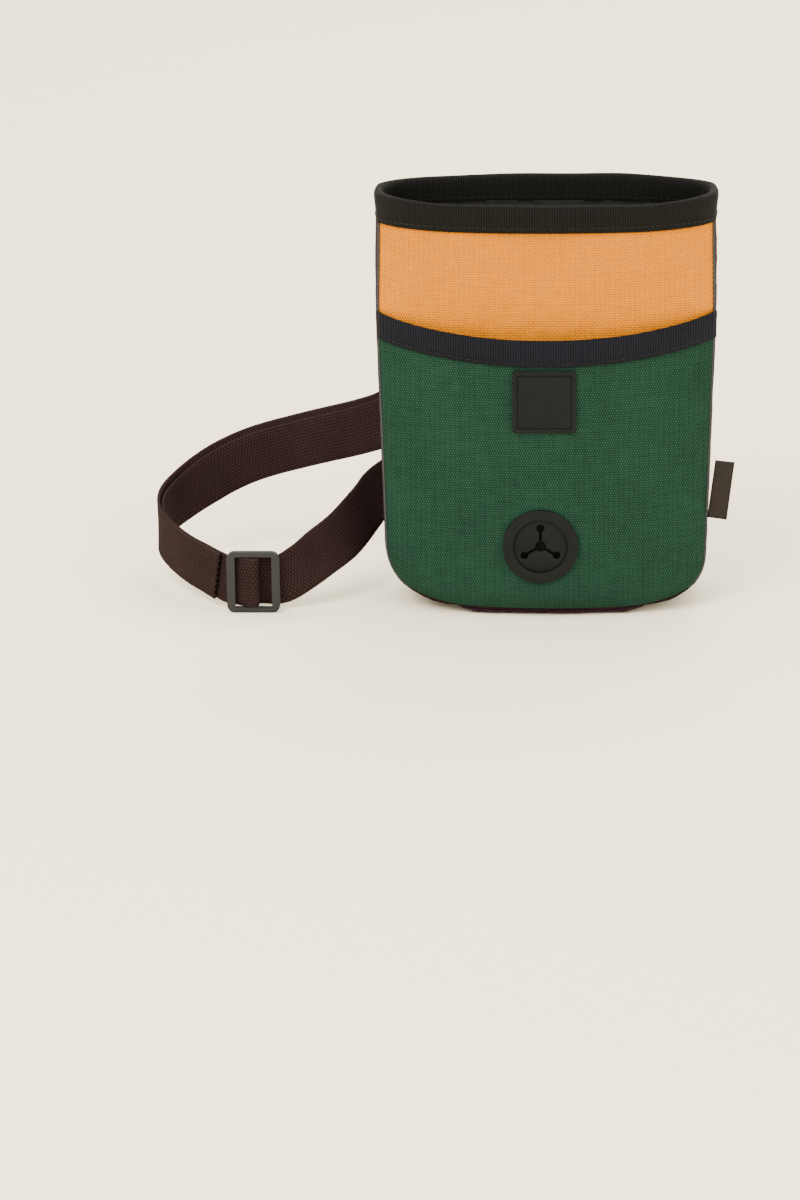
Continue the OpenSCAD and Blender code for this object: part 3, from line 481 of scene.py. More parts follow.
# Middle of the strands from the eyelet to the knot, in metres, and half the distance between them
cord_route = np.array([
    (-0.054, 0.025, 0.182), (-0.054, 0.0285, 0.182), (-0.0546, 0.0314, 0.1811),
    (-0.0558, 0.0337, 0.1794), (-0.0575, 0.0345, 0.177), (-0.0615, 0.0345, 0.171),
    (-0.0655, 0.0345, 0.165), (-0.0695, 0.0345, 0.159), (-0.0735, 0.0345, 0.153),
    (-0.075, 0.0344, 0.1495), (-0.0758, 0.0342, 0.1455), (-0.076, 0.034, 0.141),
    (-0.076, 0.034, 0.134), (-0.0757, 0.034, 0.1245)]) / MM
strand_half = [1.3] * 9 + [1.6, 2.2, 2.5, 2.1, 1.5]
cord_d = 2.2
knot_at = np.array((-75.7, 34, 121.5))
lock_at, lock_axis = np.array((-63.5, 34.5, 168.0)), np.array((-3, 0, 2)) / math.sqrt(13)


def strand(sign):
    side = unit_rows(np.cross(directions(cord_route), (0, 1, 0)))
    side[:5] = -lock_axis
    middle = cord_route + sign * np.array(strand_half)[:, None] * side
    return curve_through(middle, 1.0)


def make_cords():
    knot = make_knot()
    for sign, letter in ((1, "a"), (-1, "b")):
        line = strand(sign)
        tube = sweep("cord_" + letter, line, lock_axis, round_section(cord_d / 2, 12), CORD, "pouch",
                     ["drawcord_strand_" + letter])


def make_knot():
    """An overhand knot of both strands with two short tails, whose cut ends are a little wider."""
    turns, around = 1.5, 10
    a = np.linspace(0, TURN * turns, 90)
    lobe = 1.75 + 0.55 * np.cos(turns * a)
    loop = np.stack([lobe * np.cos(a), lobe * np.sin(a) * 0.9, 1.35 * np.sin(turns * a)], axis=1)
    other = loop[::-1] * (0.8, 1.0, -0.9) + (0.3, 0, -0.4)
    tubes = [(q + knot_at, 1.05, 1) for q in (loop, other)]
    for d in (-1, 1):
        tail = [knot_at + (d * 0.8, 0, -1), knot_at + (d * 1.6, -0.4, -5),
                knot_at + (d * 3.4, -0.6 * d, -9.5)]
        tubes.append((curve_through(tail, 0.8), 1.0, 1.18))
    verts, faces, uvs = [], [], []
    for line, r, end in tubes:
        side = unit_rows(np.cross(directions(line), (0.3, 0.9, 0.25)))
        up = np.cross(side, directions(line))
        faces += tube_faces(len(line), around, len(verts))
        for i, p in enumerate(line):
            for x, y in round_section(r, around) * (end if i == len(line) - 1 else 1):
                verts.append(p + x * side[i] + y * up[i])
                uvs.append((i * 0.8, math.atan2(y, x)))
    return new_object("knot", verts, faces, uvs, CORD, "pouch", ["cord_knot"])


make_cords()


# ---- The cord lock's spring, which shortens as its button is pressed ----

def lock_spring():
    """A coil along the lock's axis, from the wall that stays put towards the button."""
    wall, first, last, turns, r = -6.8, -6.45, -3.75, 3, 3.2
    t = np.linspace(0, 1, turns * 16 + 1)[:, None]
    a = t * turns * TURN
    across = np.cross(lock_axis, (0, 1, 0))
    line = lock_at + (first + (last - first) * t) * lock_axis
    line = line + r * (np.cos(a) * across + np.sin(a) * (0, 1, 0))
    wire = sweep("lock_spring_wire", line, lock_axis, round_section(0.34, 8), STEEL, "cord_lock",
                 ["cord_lock_spring"])
    # Pressed, the coil is drawn flatter than a real wire could go: the lock is too short for it
    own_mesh(wire)


lock_spring()


# ---- Shape of the bag, in millimetres ----

base_half, mouth_half, pouch_h = 76.5, 82.5, 205.0
corner_r, worn_corner_r = 26.0, 32.0
binding_low, cloth_top = 190.5, 199.0
front_bow, back_bow, pocket_bow = 11.0, 4.0, 18.5
seam_y = 26
front_mouth, back_mouth = 40.0, 33.4
mouth_start = {"front": 132, "back": 166}
seam_lift = {"front": 4.3, "back": 4.0}
port_at, port_r, patch_at = (-2.5, 37.0), 18.25, (-0.7, 109.0)


def half_width(z, r=corner_r):
    z = np.asarray(z, float)
    straight = base_half + (mouth_half - base_half) * np.maximum(z, r) / pouch_h
    low = np.clip(r - z, 0, r)
    return straight - r + np.sqrt(r ** 2 - low ** 2)


def crown(x):
    """1 in the middle of the bag's width and 0 at the mouth's corners, as the panels bow."""
    return 1 - (x / mouth_half) ** 2


def panel_heights(top, step=3.0):
    """Heights of a panel's rows: close together round the bottom corners."""
    low = corner_r * (1 - np.cos(np.linspace(0.0, math.pi / 2, 22)[:-1]))
    return np.concatenate([low, np.linspace(corner_r, top, int((top - corner_r) / step) + 1)])


def edge_share(s, z, reach):
    """1 on a panel's seam and 0 further in than reach, from a quarter circle."""
    side = np.clip(1 - half_width(z) * (1 - np.abs(s)) / reach, 0, 1)
    low = 0.75 * np.clip(1 - z / reach, 0, 1)
    t = np.clip(np.sqrt(side ** 2 + low ** 2), 0, 1)
    return 1 - np.sqrt(1 - t * t)


def face(s, z, side, out=0.0):
    """Point of the front or back panel's surface; s runs from -1 to 1 between the side seams.

    Higher up the panels are pushed open into the mouth's oval, except where the webbing holds
    the back flat. The left bottom corner is rounder than the right one.
    """
    s, z = np.broadcast_arrays(np.asarray(s, float), np.asarray(z, float))
    front = side == "front"
    bow, deep = (front_bow, front_mouth) if front else (back_bow, back_mouth)
    narrow, power, seam_dip = 0.972, 2.5, 4.2
    m = smoothstep(mouth_start[side], 204, z)
    x = half_width(z) * s
    lens = seam_y + bow * crown(x) - seam_dip * edge_share(s, z, 11)
    oval = deep * np.clip(1 - np.abs(s * narrow) ** power, 0, 1) ** (1 / power)
    depth = lens * (1 - m) + oval * m + out
    x = x * (1 - m) + half_width(z) * narrow * s * m
    x = np.where(s < 0, x * half_width(z, worn_corner_r) / half_width(z), x)
    lift = seam_lift[side] * np.clip(1 - z / 34, 0, 1) ** 2
    return np.stack([x, -depth if front else depth, z + lift], axis=-1)


def soft(x, z, seed, low=0.5, fine=0.22):
    """Small unevenness of the cloth: broad sags and finer puckers, inwards only."""
    broad = bumps(x, z, seed=seed, size=60)
    puckers = bumps(x, z * 1.7, seed=seed + 1, size=15)
    return -low * (0.5 + 0.5 * np.tanh(broad)) - fine * (0.5 + 0.5 * np.tanh(puckers))


def pocket_out(s, z):
    """How far the pocket stands out from the front panel."""
    full = (pocket_bow - front_bow) * crown(half_width(z) * np.asarray(s, float))
    return full * (1 - edge_share(s, z, 15)) + 0.9


def pocket_top(x):
    return 139.2 + 10.0 * (np.abs(x) / mouth_half) ** 2.3


def soft_face(S, Z, side, seed, amount, out=0.0):
    """The panel's surface with its unevenness, which fades out at the seams, and its flat place."""
    flat = face(S, Z, side)
    uneven = soft(flat[..., 0], flat[..., 2], seed, *amount) * (1 - edge_share(S, Z, 9))
    return face(S, Z, side, out + uneven), flat


def front_cloth():
    """The front panel, whose side edges are tucked in behind the pocket, out of sight at the seam."""
    S, Z = np.meshgrid(np.linspace(-1, 1, 121), panel_heights(cloth_top))
    tucked = -1.4 * smoothstep(150, 138, Z) * np.abs(S) ** 12
    p, flat = soft_face(S, Z, "front", 3, (0.7, 0.3), tucked)
    sheet("front_cloth", p, flat[..., 0], Z, ORANGE, ["front_panel"], 1.0)


def pocket_cloth():
    """The pocket's cloth, with a curved upper edge and cut away under the port's flange."""
    end_h = 149.0
    S, Z = np.meshgrid(np.linspace(-1, 1, 121), panel_heights(end_h))
    top = pocket_top(half_width(end_h) * S) - 1.2
    share = np.clip((Z - corner_r) / (end_h - corner_r), 0, 1)
    Z = np.where(Z < corner_r, Z, corner_r + share * (top - corner_r))
    p, flat = soft_face(S, Z, "front", 11, (0.45, 0.16), pocket_out(S, Z))
    away = np.hypot(p[..., 0] - port_at[0], p[..., 2] - port_at[1]).ravel()
    faces = [f for f in grid_faces(*S.shape) if away[list(f)].mean() > port_r - 2.6]
    sheet("pocket_cloth", p, flat[..., 0], Z, GREEN, ["front_pocket"], 1.0,
          faces=faces)


zip_x, zip_low, zip_high, zip_half = 62.0, 39.5, 162.5, 6.15


def back_cloth():
    """The back panel, with the zip's window cut out of its grid."""
    S, Z = np.meshgrid(np.linspace(-1, 1, 121), panel_heights(cloth_top, 2.5))
    p = soft_face(S, Z, "back", 21, (0.35, 0.22))[0]
    X, H = p[..., 0], p[..., 2]
    window = ((X, H, zip_x - zip_half, zip_x + zip_half), (H, X, zip_low, zip_high))
    # The grid's lines nearest the window are drawn to its edge, and the cells inside it left out
    for axis, (line, other, *limits) in enumerate(window):
        near = line.mean(axis=axis)
        across = window[1 - axis][2:]
        for limit in limits:
            k = int(np.abs(near - limit).argmin())
            row = (slice(None), k) if axis == 0 else (k, slice(None))
            inside = (other[row] > across[0] - 3) & (other[row] < across[1] + 3)
            line[row] = np.where(inside, limit, line[row])
    faces = []
    for f in grid_faces(*S.shape, flip=True):
        c = p.reshape(-1, 3)[list(f)].mean(0)
        if not (abs(c[0] - zip_x) < zip_half and zip_low < c[2] < zip_high):
            faces.append(f)
    sheet("back_cloth", p, X, H, GREEN_BACK, ["back_panel"], 1.0, faces=faces)


def back_y(x):
    """The flat part of the back, where the hardware sits."""
    return seam_y + back_bow * crown(np.asarray(x, float))


front_cloth()
pocket_cloth()
back_cloth()


def outline_path(step=2.5):
    """Round the bag's outline, down the left seam and up the right: (s, z), outward, flat (x, z)."""
    z = panel_heights(cloth_top, step)[::-1]
    base = [(s, 0.0) for s in np.linspace(-1, 1, 61)]
    path = np.array([(-1.0, h) for h in z[:-1]] + base + [(1.0, h) for h in z[:-1][::-1]])
    flat = np.stack([half_width(path[:, 1]) * path[:, 0], path[:, 1]], axis=1)
    t = directions(flat)
    return path, np.stack([t[:, 1], -t[:, 0]], axis=1), flat


def gusset_cloth():
    """The strip round the sides and under the base, which bulges a little between its seams."""
    path, out, flat = outline_path()
    edge, nose, floor_gap = 0.1, -0.04, 1.05
    c = np.unique(np.round(np.concatenate([np.linspace(0, edge, 8), np.linspace(edge, 1 - edge, 19),
                                           np.linspace(1 - edge, 1, 8)]), 6))
    a = face(path[:, 0], path[:, 1], "front", -0.3)
    b = face(path[:, 0], path[:, 1], "back", -0.3)
    down = np.clip(-out[:, 1], 0, 1)
    bulge = 1.3 * (1 - down) + 5.4 * down ** 6 * (1 - 0.8 * smoothstep(0.5, 1, np.abs(path[:, 0])))
    # Under the base the strip first turns down round a soft edge and then runs flat
    turn = np.clip(np.minimum(c, 1 - c) / edge, 0, 1) * math.pi / 2
    reach = np.where(c < edge, nose * (1 - np.cos(turn)),
                     nose + (1 - 2 * nose) * (c - edge) / (1 - 2 * edge))
    reach = np.where(c > 1 - edge, 1 - nose * (1 - np.cos(turn)), reach)
    rows = []
    for i, d in enumerate(down):
        lift = bulge[i] * ((1 - d) * (1 - (2 * c - 1) ** 2) + d * np.sin(turn))
        p = a[i] + (b[i] - a[i]) * (c * (1 - d) + reach * d)[:, None]
        n = np.array([out[i, 0], 0, out[i, 1]])
        p = p + n * lift[:, None]
        wrinkle = bumps(p[:, 0] + p[:, 2], p[:, 1], seed=31, size=26) * 0.35
        rows.append(p - n * (np.abs(wrinkle) * np.sin(math.pi * c))[:, None])
    p = np.array(rows)
    floor = floor_gap + 0.1 * np.abs(bumps(p[..., 0], p[..., 1], seed=5, size=30))
    p[..., 2] = np.maximum(p[..., 2], floor)
    sheet("gusset_cloth", p, lengths(flat)[:, None], c[None] * 2 * seam_y, PLUM, ["gusset"],
          1.0, 1.0)


gusset_cloth()


def piping(side):
    path, out, _ = outline_path(2.0)
    keep = path[:, 1] < 192
    line = face(path[:, 0], path[:, 1], side, -0.3)[keep] + flat_points(*out[keep].T) * 0.3
    sweep("piping_" + side + "_cord", line, (0, 1, 0), round_section(0.7), PIPING, "pouch",
          ["piping_" + side])


piping("front")
piping("back")


# ---- Mouth: binding, lining and collar ----

def ring_at(z, out=0.0):
    """Closed loop round the bag at a height, counter-clockwise from above; out grows it."""
    half = np.linspace(-1, 1, 119)
    corner_out = 0.9 * out
    front = face(half, z, "front", out)
    back = face(half[::-1], z, "back", out)
    sides = []
    for a, b, way in ((front[-1], back[0], 1), (back[-1], front[0], -1)):
        c = np.linspace(0, 1, 13)[1:-1]
        p = a + (b - a) * c[:, None]
        p[:, 0] += way * (1.3 * (1 - (2 * c - 1) ** 2) + corner_out)
        sides.append(p)
    for row in (front, back):
        row[:, 0] += np.sign(row[:, 0]) * np.abs(half) ** 8 * corner_out
    return np.concatenate([front, sides[0], back, sides[1]])


def outward(ring):
    return unit_rows(ring * (1, 1, 0))


def tube_rows(name, rings, heights, material, nodes, thick=0.0, inward=True):
    """Joins closed loops, one above another, into one sheet."""
    rows = np.array([np.vstack([r, r[:1]]) for r in rings])
    return sheet(name, rows, lengths(rows[0])[None], np.array(heights)[:, None], material, nodes,
                 thick, 1.0, inward)


def rim_sag(ring):
    """The rim dips in the middle of its front and wanders a little all round."""
    near = np.clip(-ring[:, 1] / 36, 0, 1) * crown(ring[:, 0])
    far = np.clip(ring[:, 1] / 33, 0, 1) * np.clip(np.abs(ring[:, 0] / mouth_half) - 0.45, 0, 1)
    wander = bumps(ring[:, 0], ring[:, 1], seed=41, size=70.0)
    return wander * 0.35 - 0.35 - 1.5 * near - 2.2 * far


def binding():
    """Tape folded over the mouth: outer leg, round fold and inner leg, stitched through."""
    profile = [(0.55, binding_low), (1.1, binding_low + 0.3), (1.3, binding_low + 1.4),
               (1.2, 194), (1.45, 197), (1.75, 199.5), (1.95, 201.5), (1.8, 203.2), (1.0, 204.6),
               (-0.3, 205.1), (-1.7, 204.8), (-2.8, 203.8), (-3.3, 202), (-3.3, 199), (-3.1, 195),
               (-2.9, binding_low + 0.6), (-2.3, binding_low - 0.3)]
    rings = []
    for out, z in profile:
        ring = ring_at(z, out)
        ring[:, 2] += rim_sag(ring) * smoothstep(binding_low - 8, pouch_h, z)
        rings.append(ring)
    tube_rows("mouth_tape", rings, lengths(np.array(profile)), BLACK_TAPE, ["mouth_binding"],
              inward=False)
    rows = []
    for z, out in ((binding_low + 2.1, 1.2), (binding_low + 3.0, -3.0)):
        ring = ring_at(z, out)
        line = np.vstack([ring, ring[:1]])
        rows.append((line, outward(line) * (1 if out > 0 else -1)))
    stitches("mouth_stitches", rows, BLACK_THREAD)


def lining_cloth():
    """The bag's own lining, down to a rounded floor, slightly creased."""
    rings, heights = [], []
    low_z, floor_z = 2.2, 2.6
    for z in np.concatenate([np.linspace(192, 26, 56), np.linspace(24, low_z, 12)]):
        low = np.clip(1 - (z - low_z) / 24, 0, 1)
        ring = ring_at(z, -2.6 - 1.0 * low)
        ring[:, 0] *= 1 - np.clip(np.abs(ring[:, 0]) - 50, 0, 40) / 40 * low ** 2 * 0.2
        ring[ring[:, 1] > 0, 1] -= 4.0 * smoothstep(190, 172, z)
        crease = bumps(ring[:, 0], ring[:, 1], np.full(len(ring), z), seed=51, size=24)
        ring = ring - outward(ring) * (0.55 * np.abs(crease))[:, None]
        ring[:, 2] = z + 1.2 * low
        rings.append(ring)
        heights.append(z)
    floor = rings[-1]
    for k in (0.85, 0.6, 0.3, 0.02):
        ring = floor * (k, k, 1)
        ring[:, 2] = floor_z + 0.5 * np.abs(bumps(ring[:, 0], ring[:, 1], seed=52, size=30))
        rings.append(ring)
        heights.append(heights[-1] - floor[:, 0].max() * 0.25)
    tube_rows("lining_cloth", rings, heights, LINING, ["lining"], 0.6)


def corners_in(ring, amount):
    """Draws a loop's two ends in."""
    corner = np.clip((np.abs(ring[:, 0]) - 58) / 25, 0, 1)
    ring[:, 0] -= np.sign(ring[:, 0]) * corner * amount


def collar_cloth():
    """The drawstring collar: a soft tube with a cord channel and the gathers that the cord leaves."""
    rings = []
    # Height, how far in from the bag, and how loose the cloth is there
    shape = [(191.5, 3.0, 0.0), (190.2, 4.6, 0.3), (188.5, 6.4, 0.8), (186.2, 7.6, 1.0),
             (184.4, 8.0, 1.1), (182.4, 8.1, 1.1), (180.6, 7.9, 1.2), (179.6, 6.6, 1.3),
             (178.6, 7.6, 1.5), (175, 8.6, 1.9), (170, 9.2, 2.2), (164, 9.8, 2.5), (157, 10.4, 2.7),
             (150, 10.9, 2.9), (145.5, 11.2, 3.0), (144.4, 11.6, 3.0), (145.2, 12.2, 3.0)]
    for z, inward, loose in shape:
        ring = ring_at(z, -inward)
        corners_in(ring, 4.5 * smoothstep(191, 180, z))
        far = lengths(np.vstack([ring, ring[:1]]))
        turn = far[:-1] / far[-1] * TURN
        gather = np.sin(turn * 46 + 2.2 * np.sin(turn * 5)) * 0.5 + np.sin(turn * 27 + 1.3) * 0.5
        broad = np.sin(turn * 9 + 0.5) * 0.6 + np.sin(turn * 5 + 2.0) * 0.6
        push = loose * (0.42 * gather + 0.55 * broad * smoothstep(186, 160, z))
        ring = ring - outward(ring) * (push + 0.3 * loose)[:, None]
        ring[:, 2] = z + 0.35 * loose * np.sin(turn * 7 + 1) + 0.2 * gather
        rings.append(ring)
    tube_rows("collar_cloth", rings, [z for z, _, _ in shape], COLLAR, ["drawstring_collar"],
              0.45)


def channel_cord():
    """The cord inside the collar's channel, one turn that starts and ends beside the eyelet."""
    ring = ring_at(182.4, -5.7)
    corners_in(ring, 2.2)
    ring[:, 2] = 182.2 + 0.3 * np.sin(np.arange(len(ring)) * 0.12)
    start = int(np.linalg.norm(ring[:, :2] - np.array((-54, 22.5)), axis=1).argmin())
    ring = np.roll(ring, -start, 0)[4:-4]
    sweep("channel_cord", ring, UP, round_section(1.1), CORD, "pouch", ["drawcord_loop"])


binding()
lining_cloth()
collar_cloth()
channel_cord()


# ---- Front pocket's binding, port and patch ----

def pocket_tape():
    """Tape over the pocket's edge: an outer leg and the fold over the raw edge."""
    s = np.linspace(-1.0, 1.0, 141)
    wide = half_width(145)
    profile = [(0.35, -13.0), (0.95, -12.9), (1.15, -12.2), (1.15, -8), (1.2, -4), (1.15, -1.2),
               (0.85, -0.35), (0.2, 0.0), (-0.5, -0.15), (-1.1, -0.8), (-1.35, -1.9), (-1.4, -4.0)]
    rows = []
    for out, down in profile:
        z = pocket_top(wide * s) + down
        lift = pocket_out(s, z) + out + 0.25 * bumps(wide * s, z * 0.4, seed=61, size=40)
        row = face(s, z, "front", lift)
        row[:, 0] += 1.6 * np.clip(s, 0, 1) ** 40 - 0.9 * np.clip(-s, 0, 1) ** 40
        rows.append(row)
    along = np.array([down if out > 0 else -down for out, down in profile])
    sheet("pocket_tape", np.array(rows), wide * s[None], along[:, None], NAVY_TAPE, ["pocket_binding"],
          0.3)
    s = np.linspace(-0.985, 0.985, 121)
    z = pocket_top(wide * s) - 11.2
    line = face(s, z, "front", pocket_out(s, z) + 1.3)
    stitches("pocket_stitches", [(line, (0, -1, 0))], BLACK_THREAD)


def pocket_front(x, z, out):
    """A place on the front pocket in the CAD's smooth shape."""
    x, z = np.broadcast_arrays(np.asarray(x, float), np.asarray(z, float))
    return np.stack([x, -(seam_y + pocket_bow * crown(x)) - out, z], axis=-1)


def port_backing():
    """The black facing inside the pocket, seen through the port's slit."""
    r = 15.5
    R, A = np.meshgrid(np.linspace(0, r, 14), np.linspace(0, TURN, 49), indexing="ij")
    X, Z = R * np.cos(A), R * np.sin(A)
    dent = -2.6 - 0.8 * np.cos(R / r * math.pi / 2) + 0.3 * bumps(X, Z, seed=65, size=12)
    p = pocket_front(port_at[0] + X, port_at[1] + Z, dent)
    sheet("port_facing", p, X, Z, LINING, (), 0.5, flip=True)


def patch_stitches():
    """Stitches in the groove round the rubber patch."""
    half = 12.55
    corners = rounded_box(half, -half, half, 2.0)
    rows = []
    for a, b in zip(corners[:-1], corners[1:]):
        k = np.linspace(0, 1, max(2, int(np.hypot(*(b - a)) / 2) + 1))[:-1, None]
        rows.append(a + (b - a) * k)
    line = np.concatenate(rows + [corners[:1]])
    stitches("patch_stitches", [(pocket_front(*patch_at, 1.05) + flat_points(*line.T), (0, -1, 0))],
             BLACK_THREAD, length=1.5, gap=0.7, radius=0.26, sink=0.05)


pocket_tape()
port_backing()
patch_stitches()


# ---- Webbing ----

web_w, web_t = 25.0, 1.5


def web(name, line, side, section, body, node):
    sweep(name, line, side, section, WEB, body, [node])


# Middle of the strap's outer layer, from the tri-glide round the bend to the belt loop and round it
outer_route = [
    (-161, -28, 16.5), (-168, -21, 18.5), (-178, -10, 21), (-188, 6, 24), (-193.5, 20, 27),
    (-194.5, 34, 30), (-192, 47, 32.5), (-186, 58, 35.5), (-176, 66, 41), (-162, 70, 48.5),
    (-145, 70, 55.5), (-120, 63, 64), (-92, 50, 74), (-77, 44, 81), (-63, 40.2, 92), (-52, 38, 102),
    (-44, 37.3, 107), (-32, 37.3, 108), (-18, 37.3, 108), (-16.2, 36.5, 108), (-15.5, 34.8, 108),
    (-16.2, 33.1, 108), (-18, 32.3, 108), (-20, 32.3, 108)]
# The inner layer's two ends; the fourth value leans its upper edge
inner_start = [(-20, 32.3, 108, 0), (-34, 32.3, 108, 0), (-48, 33, 105.5, 0), (-56, 35.6, 98.5, 0)]
inner_end = [
    (-155, -29.6, 15.6, 0), (-148, -29.8, 15.5, 0), (-138, -29.8, 15.5, 0), (-129, -29.8, 15.8, 0),
    (-119, -26, 21, -0.3), (-111, -18, 25.5, -0.6), (-100, -4, 31, -0.7), (-90, 16, 38.5, -0.5),
    (-84.5, 29, 43, -0.5), (-77, 40, 46.5, -0.4), (-65, 50.5, 50.5, -0.2), (-48, 54, 55, 0),
    (-32, 51.5, 61, 0), (-19, 47, 70, 0), (-8.5, 42.4, 81, 0), (-1, 38.6, 91, 0), (6, 36.8, 100, 0),
    (12, 36.8, 105.5, 0), (18, 37.3, 107.6, 0), (26, 37.3, 108, 0), (42, 37.3, 108, 0),
    (43.8, 36.5, 108, 0), (44.5, 34.8, 108, 0), (43.8, 33.1, 108, 0), (42, 32.3, 108, 0),
    (28, 32.3, 108, 0), (18, 32.6, 107.2, 0), (11.5, 33.8, 104, 0), (6, 34.9, 99, 0), (1, 36, 92.5, 0)]
shared, layer_pitch, layer_drop = 15, 2.1, 3.0


def strap_layer(name, route, node):
    """Webbing on its edge along a route, slightly cupped."""
    line = curve_through(route, 2.2)
    section = band_section(web_w - 0.1, web_t)
    cup = 0.25 * np.sin(lengths(line[:, :3]) * 0.045 + 1.3)
    many = np.repeat(section[None], len(line), axis=0)
    many[..., 1] += cup[:, None] * (1 - (section[:, 0] / (web_w / 2)) ** 2)
    side = np.column_stack([line[:, 3], np.zeros(len(line)), np.ones(len(line))])
    web(name, line[:, :3], side, many, "pouch", node)


def strap_layers():
    outer = np.array(outer_route, float)
    beside = unit_rows(np.cross(directions(outer), UP))
    # The two layers lie against each other in the bend, so the inner one keeps the CAD's distance
    inner = [(*(outer[i] + layer_pitch * beside[i] - (0, 0, layer_drop * min(1, i / 6))), 0)
             for i in range(shared - 1, -1, -1)]
    strap_layer("strap_outer", [(*p, 0) for p in outer_route], "strap_outer_layer")
    strap_layer("strap_inner", inner_start + inner + inner_end, "strap_inner_layer")


glide_at = np.array((-143.0, -33.8, 15.5))
bar_gap = 0.1


def end_fold():
    """The strap's sewn end, folded round the tri-glide's middle bar."""
    bar_r, frame_t = 1.3, 1.4
    x, y, z = glide_at
    behind = y + frame_t + web_t / 2 + bar_gap
    route = [(x - 11.5, behind), (x - 8.6, behind), (x - 5.4, behind - 2.2)]
    route += arc(x, y, bar_r + bar_gap + web_t / 2, 215, 450, 14)
    web("strap_end", curve_through([(*p, z) for p in route], 0.7), UP, band_section(web_w - 0.2, 1.45),
        "adjuster", "strap_end_fold")


dip_z, loop_low, bar_y = 160.0, 85.5, 41.3
female_x, male_x, female_bar_z, male_bar_z = 28.0, -32.0, 115.0, 120.3


def pad_y(x):
    return float(back_y(abs(x) + web_w / 2)) + web_t / 2


def side_view(x, points):
    return np.array([(x, y, z) for y, z in points], float)


def belt_loop(name, x):
    """Webbing sewn over the binding, pinched in at the dip and sewn again lower down."""
    y = pad_y(x)
    over_tape, over_cloth = 1.35 + web_t / 2, 0.4 + web_t / 2
    top = float(face(x / 82.3, 197.0, "back", over_tape)[1])
    mid = float(face(x / 81.9, 186.0, "back", over_cloth)[1])
    route = side_view(x, [(top - 0.2, 203), (top, 199), (top, 190), (mid + 0.9, 184), (y + 3.4, 176),
                          (y + 2.2, 169), (y, 164), (y, dip_z - 3), (y + 2, dip_z - 8),
                          (y + 5.6, dip_z - 16), (y + 5.6, loop_low + 10), (y + 2.8, loop_low + 6),
                          (y, loop_low + 3.5), (y, loop_low)])
    line = curve_through(route, 1.8)
    line[:, 0] += 0.35 * np.sin(lengths(line) * 0.06 + x)
    web(name + "_web", line, (1, 0, 0), band_section(web_w, web_t), "pouch", name)
    return line


def buckle_strap(name, x, bar_z, back_up, body, node):
    """Webbing that hangs from the dip, folded round its buckle's bar."""
    y, fold = pad_y(x) + web_t + 0.4, 1.2 + bar_gap + web_t / 2
    route = [(y, dip_z - 1), (y + 0.2, dip_z - 4), (y + 2.6, dip_z - 9), (y + 6, dip_z - 16),
             (y + 7.6, dip_z - 22), (bar_y + fold - 2.2, dip_z - 29), (bar_y + fold, bar_z + 5)]
    route += arc(bar_y, bar_z, fold, 0, -180, 10) + [(bar_y - fold, bar_z + back_up)]
    web(name, curve_through(side_view(x, route), 1.0), (1, 0, 0), band_section(web_w - 0.3, web_t),
        body, node)


def bartacks(loops):
    """Close zigzags across each belt loop: low down, over the binding and at the dip."""
    rows, count, half_w, half_h = [], 30, 9.5, 0.8
    for x, line in loops:
        for z in (loop_low + 2.0, 195.5, dip_z + 1.0):
            y = line[int(np.abs(line[:, 2] - z).argmin()), 1] + web_t / 2 + 0.12
            zig = np.array([(x + half_w * (2 * i / count - 1), y, z + (half_h if i % 2 else -half_h))
                            for i in range(count + 1)])
            rows += [(np.array(pair), (0, 1, 0)) for pair in zip(zig[:-1], zig[1:])]
    stitches("bartack_threads", rows, PLUM_THREAD, length=1.7, gap=0.0, radius=0.24, sink=0.02,
             nodes=["bartacks"])


strap_layers()
end_fold()
loops = [(female_x, belt_loop("belt_loop_left", female_x)),
         (male_x, belt_loop("belt_loop_right", male_x))]
buckle_strap("hanging_strap_left", female_x, female_bar_z, 14, "female_strap", "buckle_strap_female")
buckle_strap("hanging_strap_right", male_x, male_bar_z, 8.5, "male_strap", "buckle_strap_male")
bartacks(loops)


# ---- Zip ----

back_r = (mouth_half ** 2 + back_bow ** 2) / (2 * back_bow)
zip_turn = -math.asin(zip_x / back_r)
zip_along = np.array((math.cos(zip_turn), math.sin(zip_turn), 0))
zip_out = np.array((-math.sin(zip_turn), math.cos(zip_turn), 0))
zip_at = np.array((zip_x, float(back_y(zip_x)), 0))


def on_zip(x, y, z):
    """A place in the zip's own axes: x along the panel, y outwards, z up."""
    x, y, z = (q[..., None] for q in np.broadcast_arrays(*(np.asarray(q, float) for q in (x, y, z))))
    return zip_at + x * zip_along + y * zip_out + z * np.array(UP)


def zip_tape(name, way):
    """A coated tape that bows towards the seam, and the coil that shows as a soft ridge behind it."""
    xs = np.array([0.55, 0.62, 0.9, 1.4, 2.1, 3.0, 4.2, 5.6, 7.2, 9.05]) * way
    lift = np.array([-0.75, -0.35, -0.1, 0.0, -0.03, -0.12, -0.16, -0.12, -0.1, -0.1])
    X, Z = np.meshgrid(xs, np.linspace(33.5, 168.5, 110))
    parted = smoothstep(zip_high - 12, zip_high + 4, Z) * way * 0.7 * (np.abs(X) < 4)
    Y = -1.35 + lift[None] * 0.8 - 0.06 * np.abs(bumps(Z, seed=71, size=9.0))
    sheet("zip_tape_" + name + "_cloth", on_zip(X + parted, Y, Z), X, Z, ZIP_TAPE,
          ["zip_tape_" + name], 0.35, flip=way > 0)
    turns = int((zip_high - zip_low) / 1.3)
    a = np.linspace(0, turns * TURN, turns * 12)
    line = on_zip(way * 1.3 + 0.55 * np.cos(a), -2.7 + 0.45 * np.sin(a),
                  zip_low + (zip_high - zip_low) * a / a[-1])
    sweep("zip_coil_" + name + "_wire", line, zip_along + 0.01, round_section(0.22, 6), PLASTIC,
          "pouch", ["zip_coil_" + name])


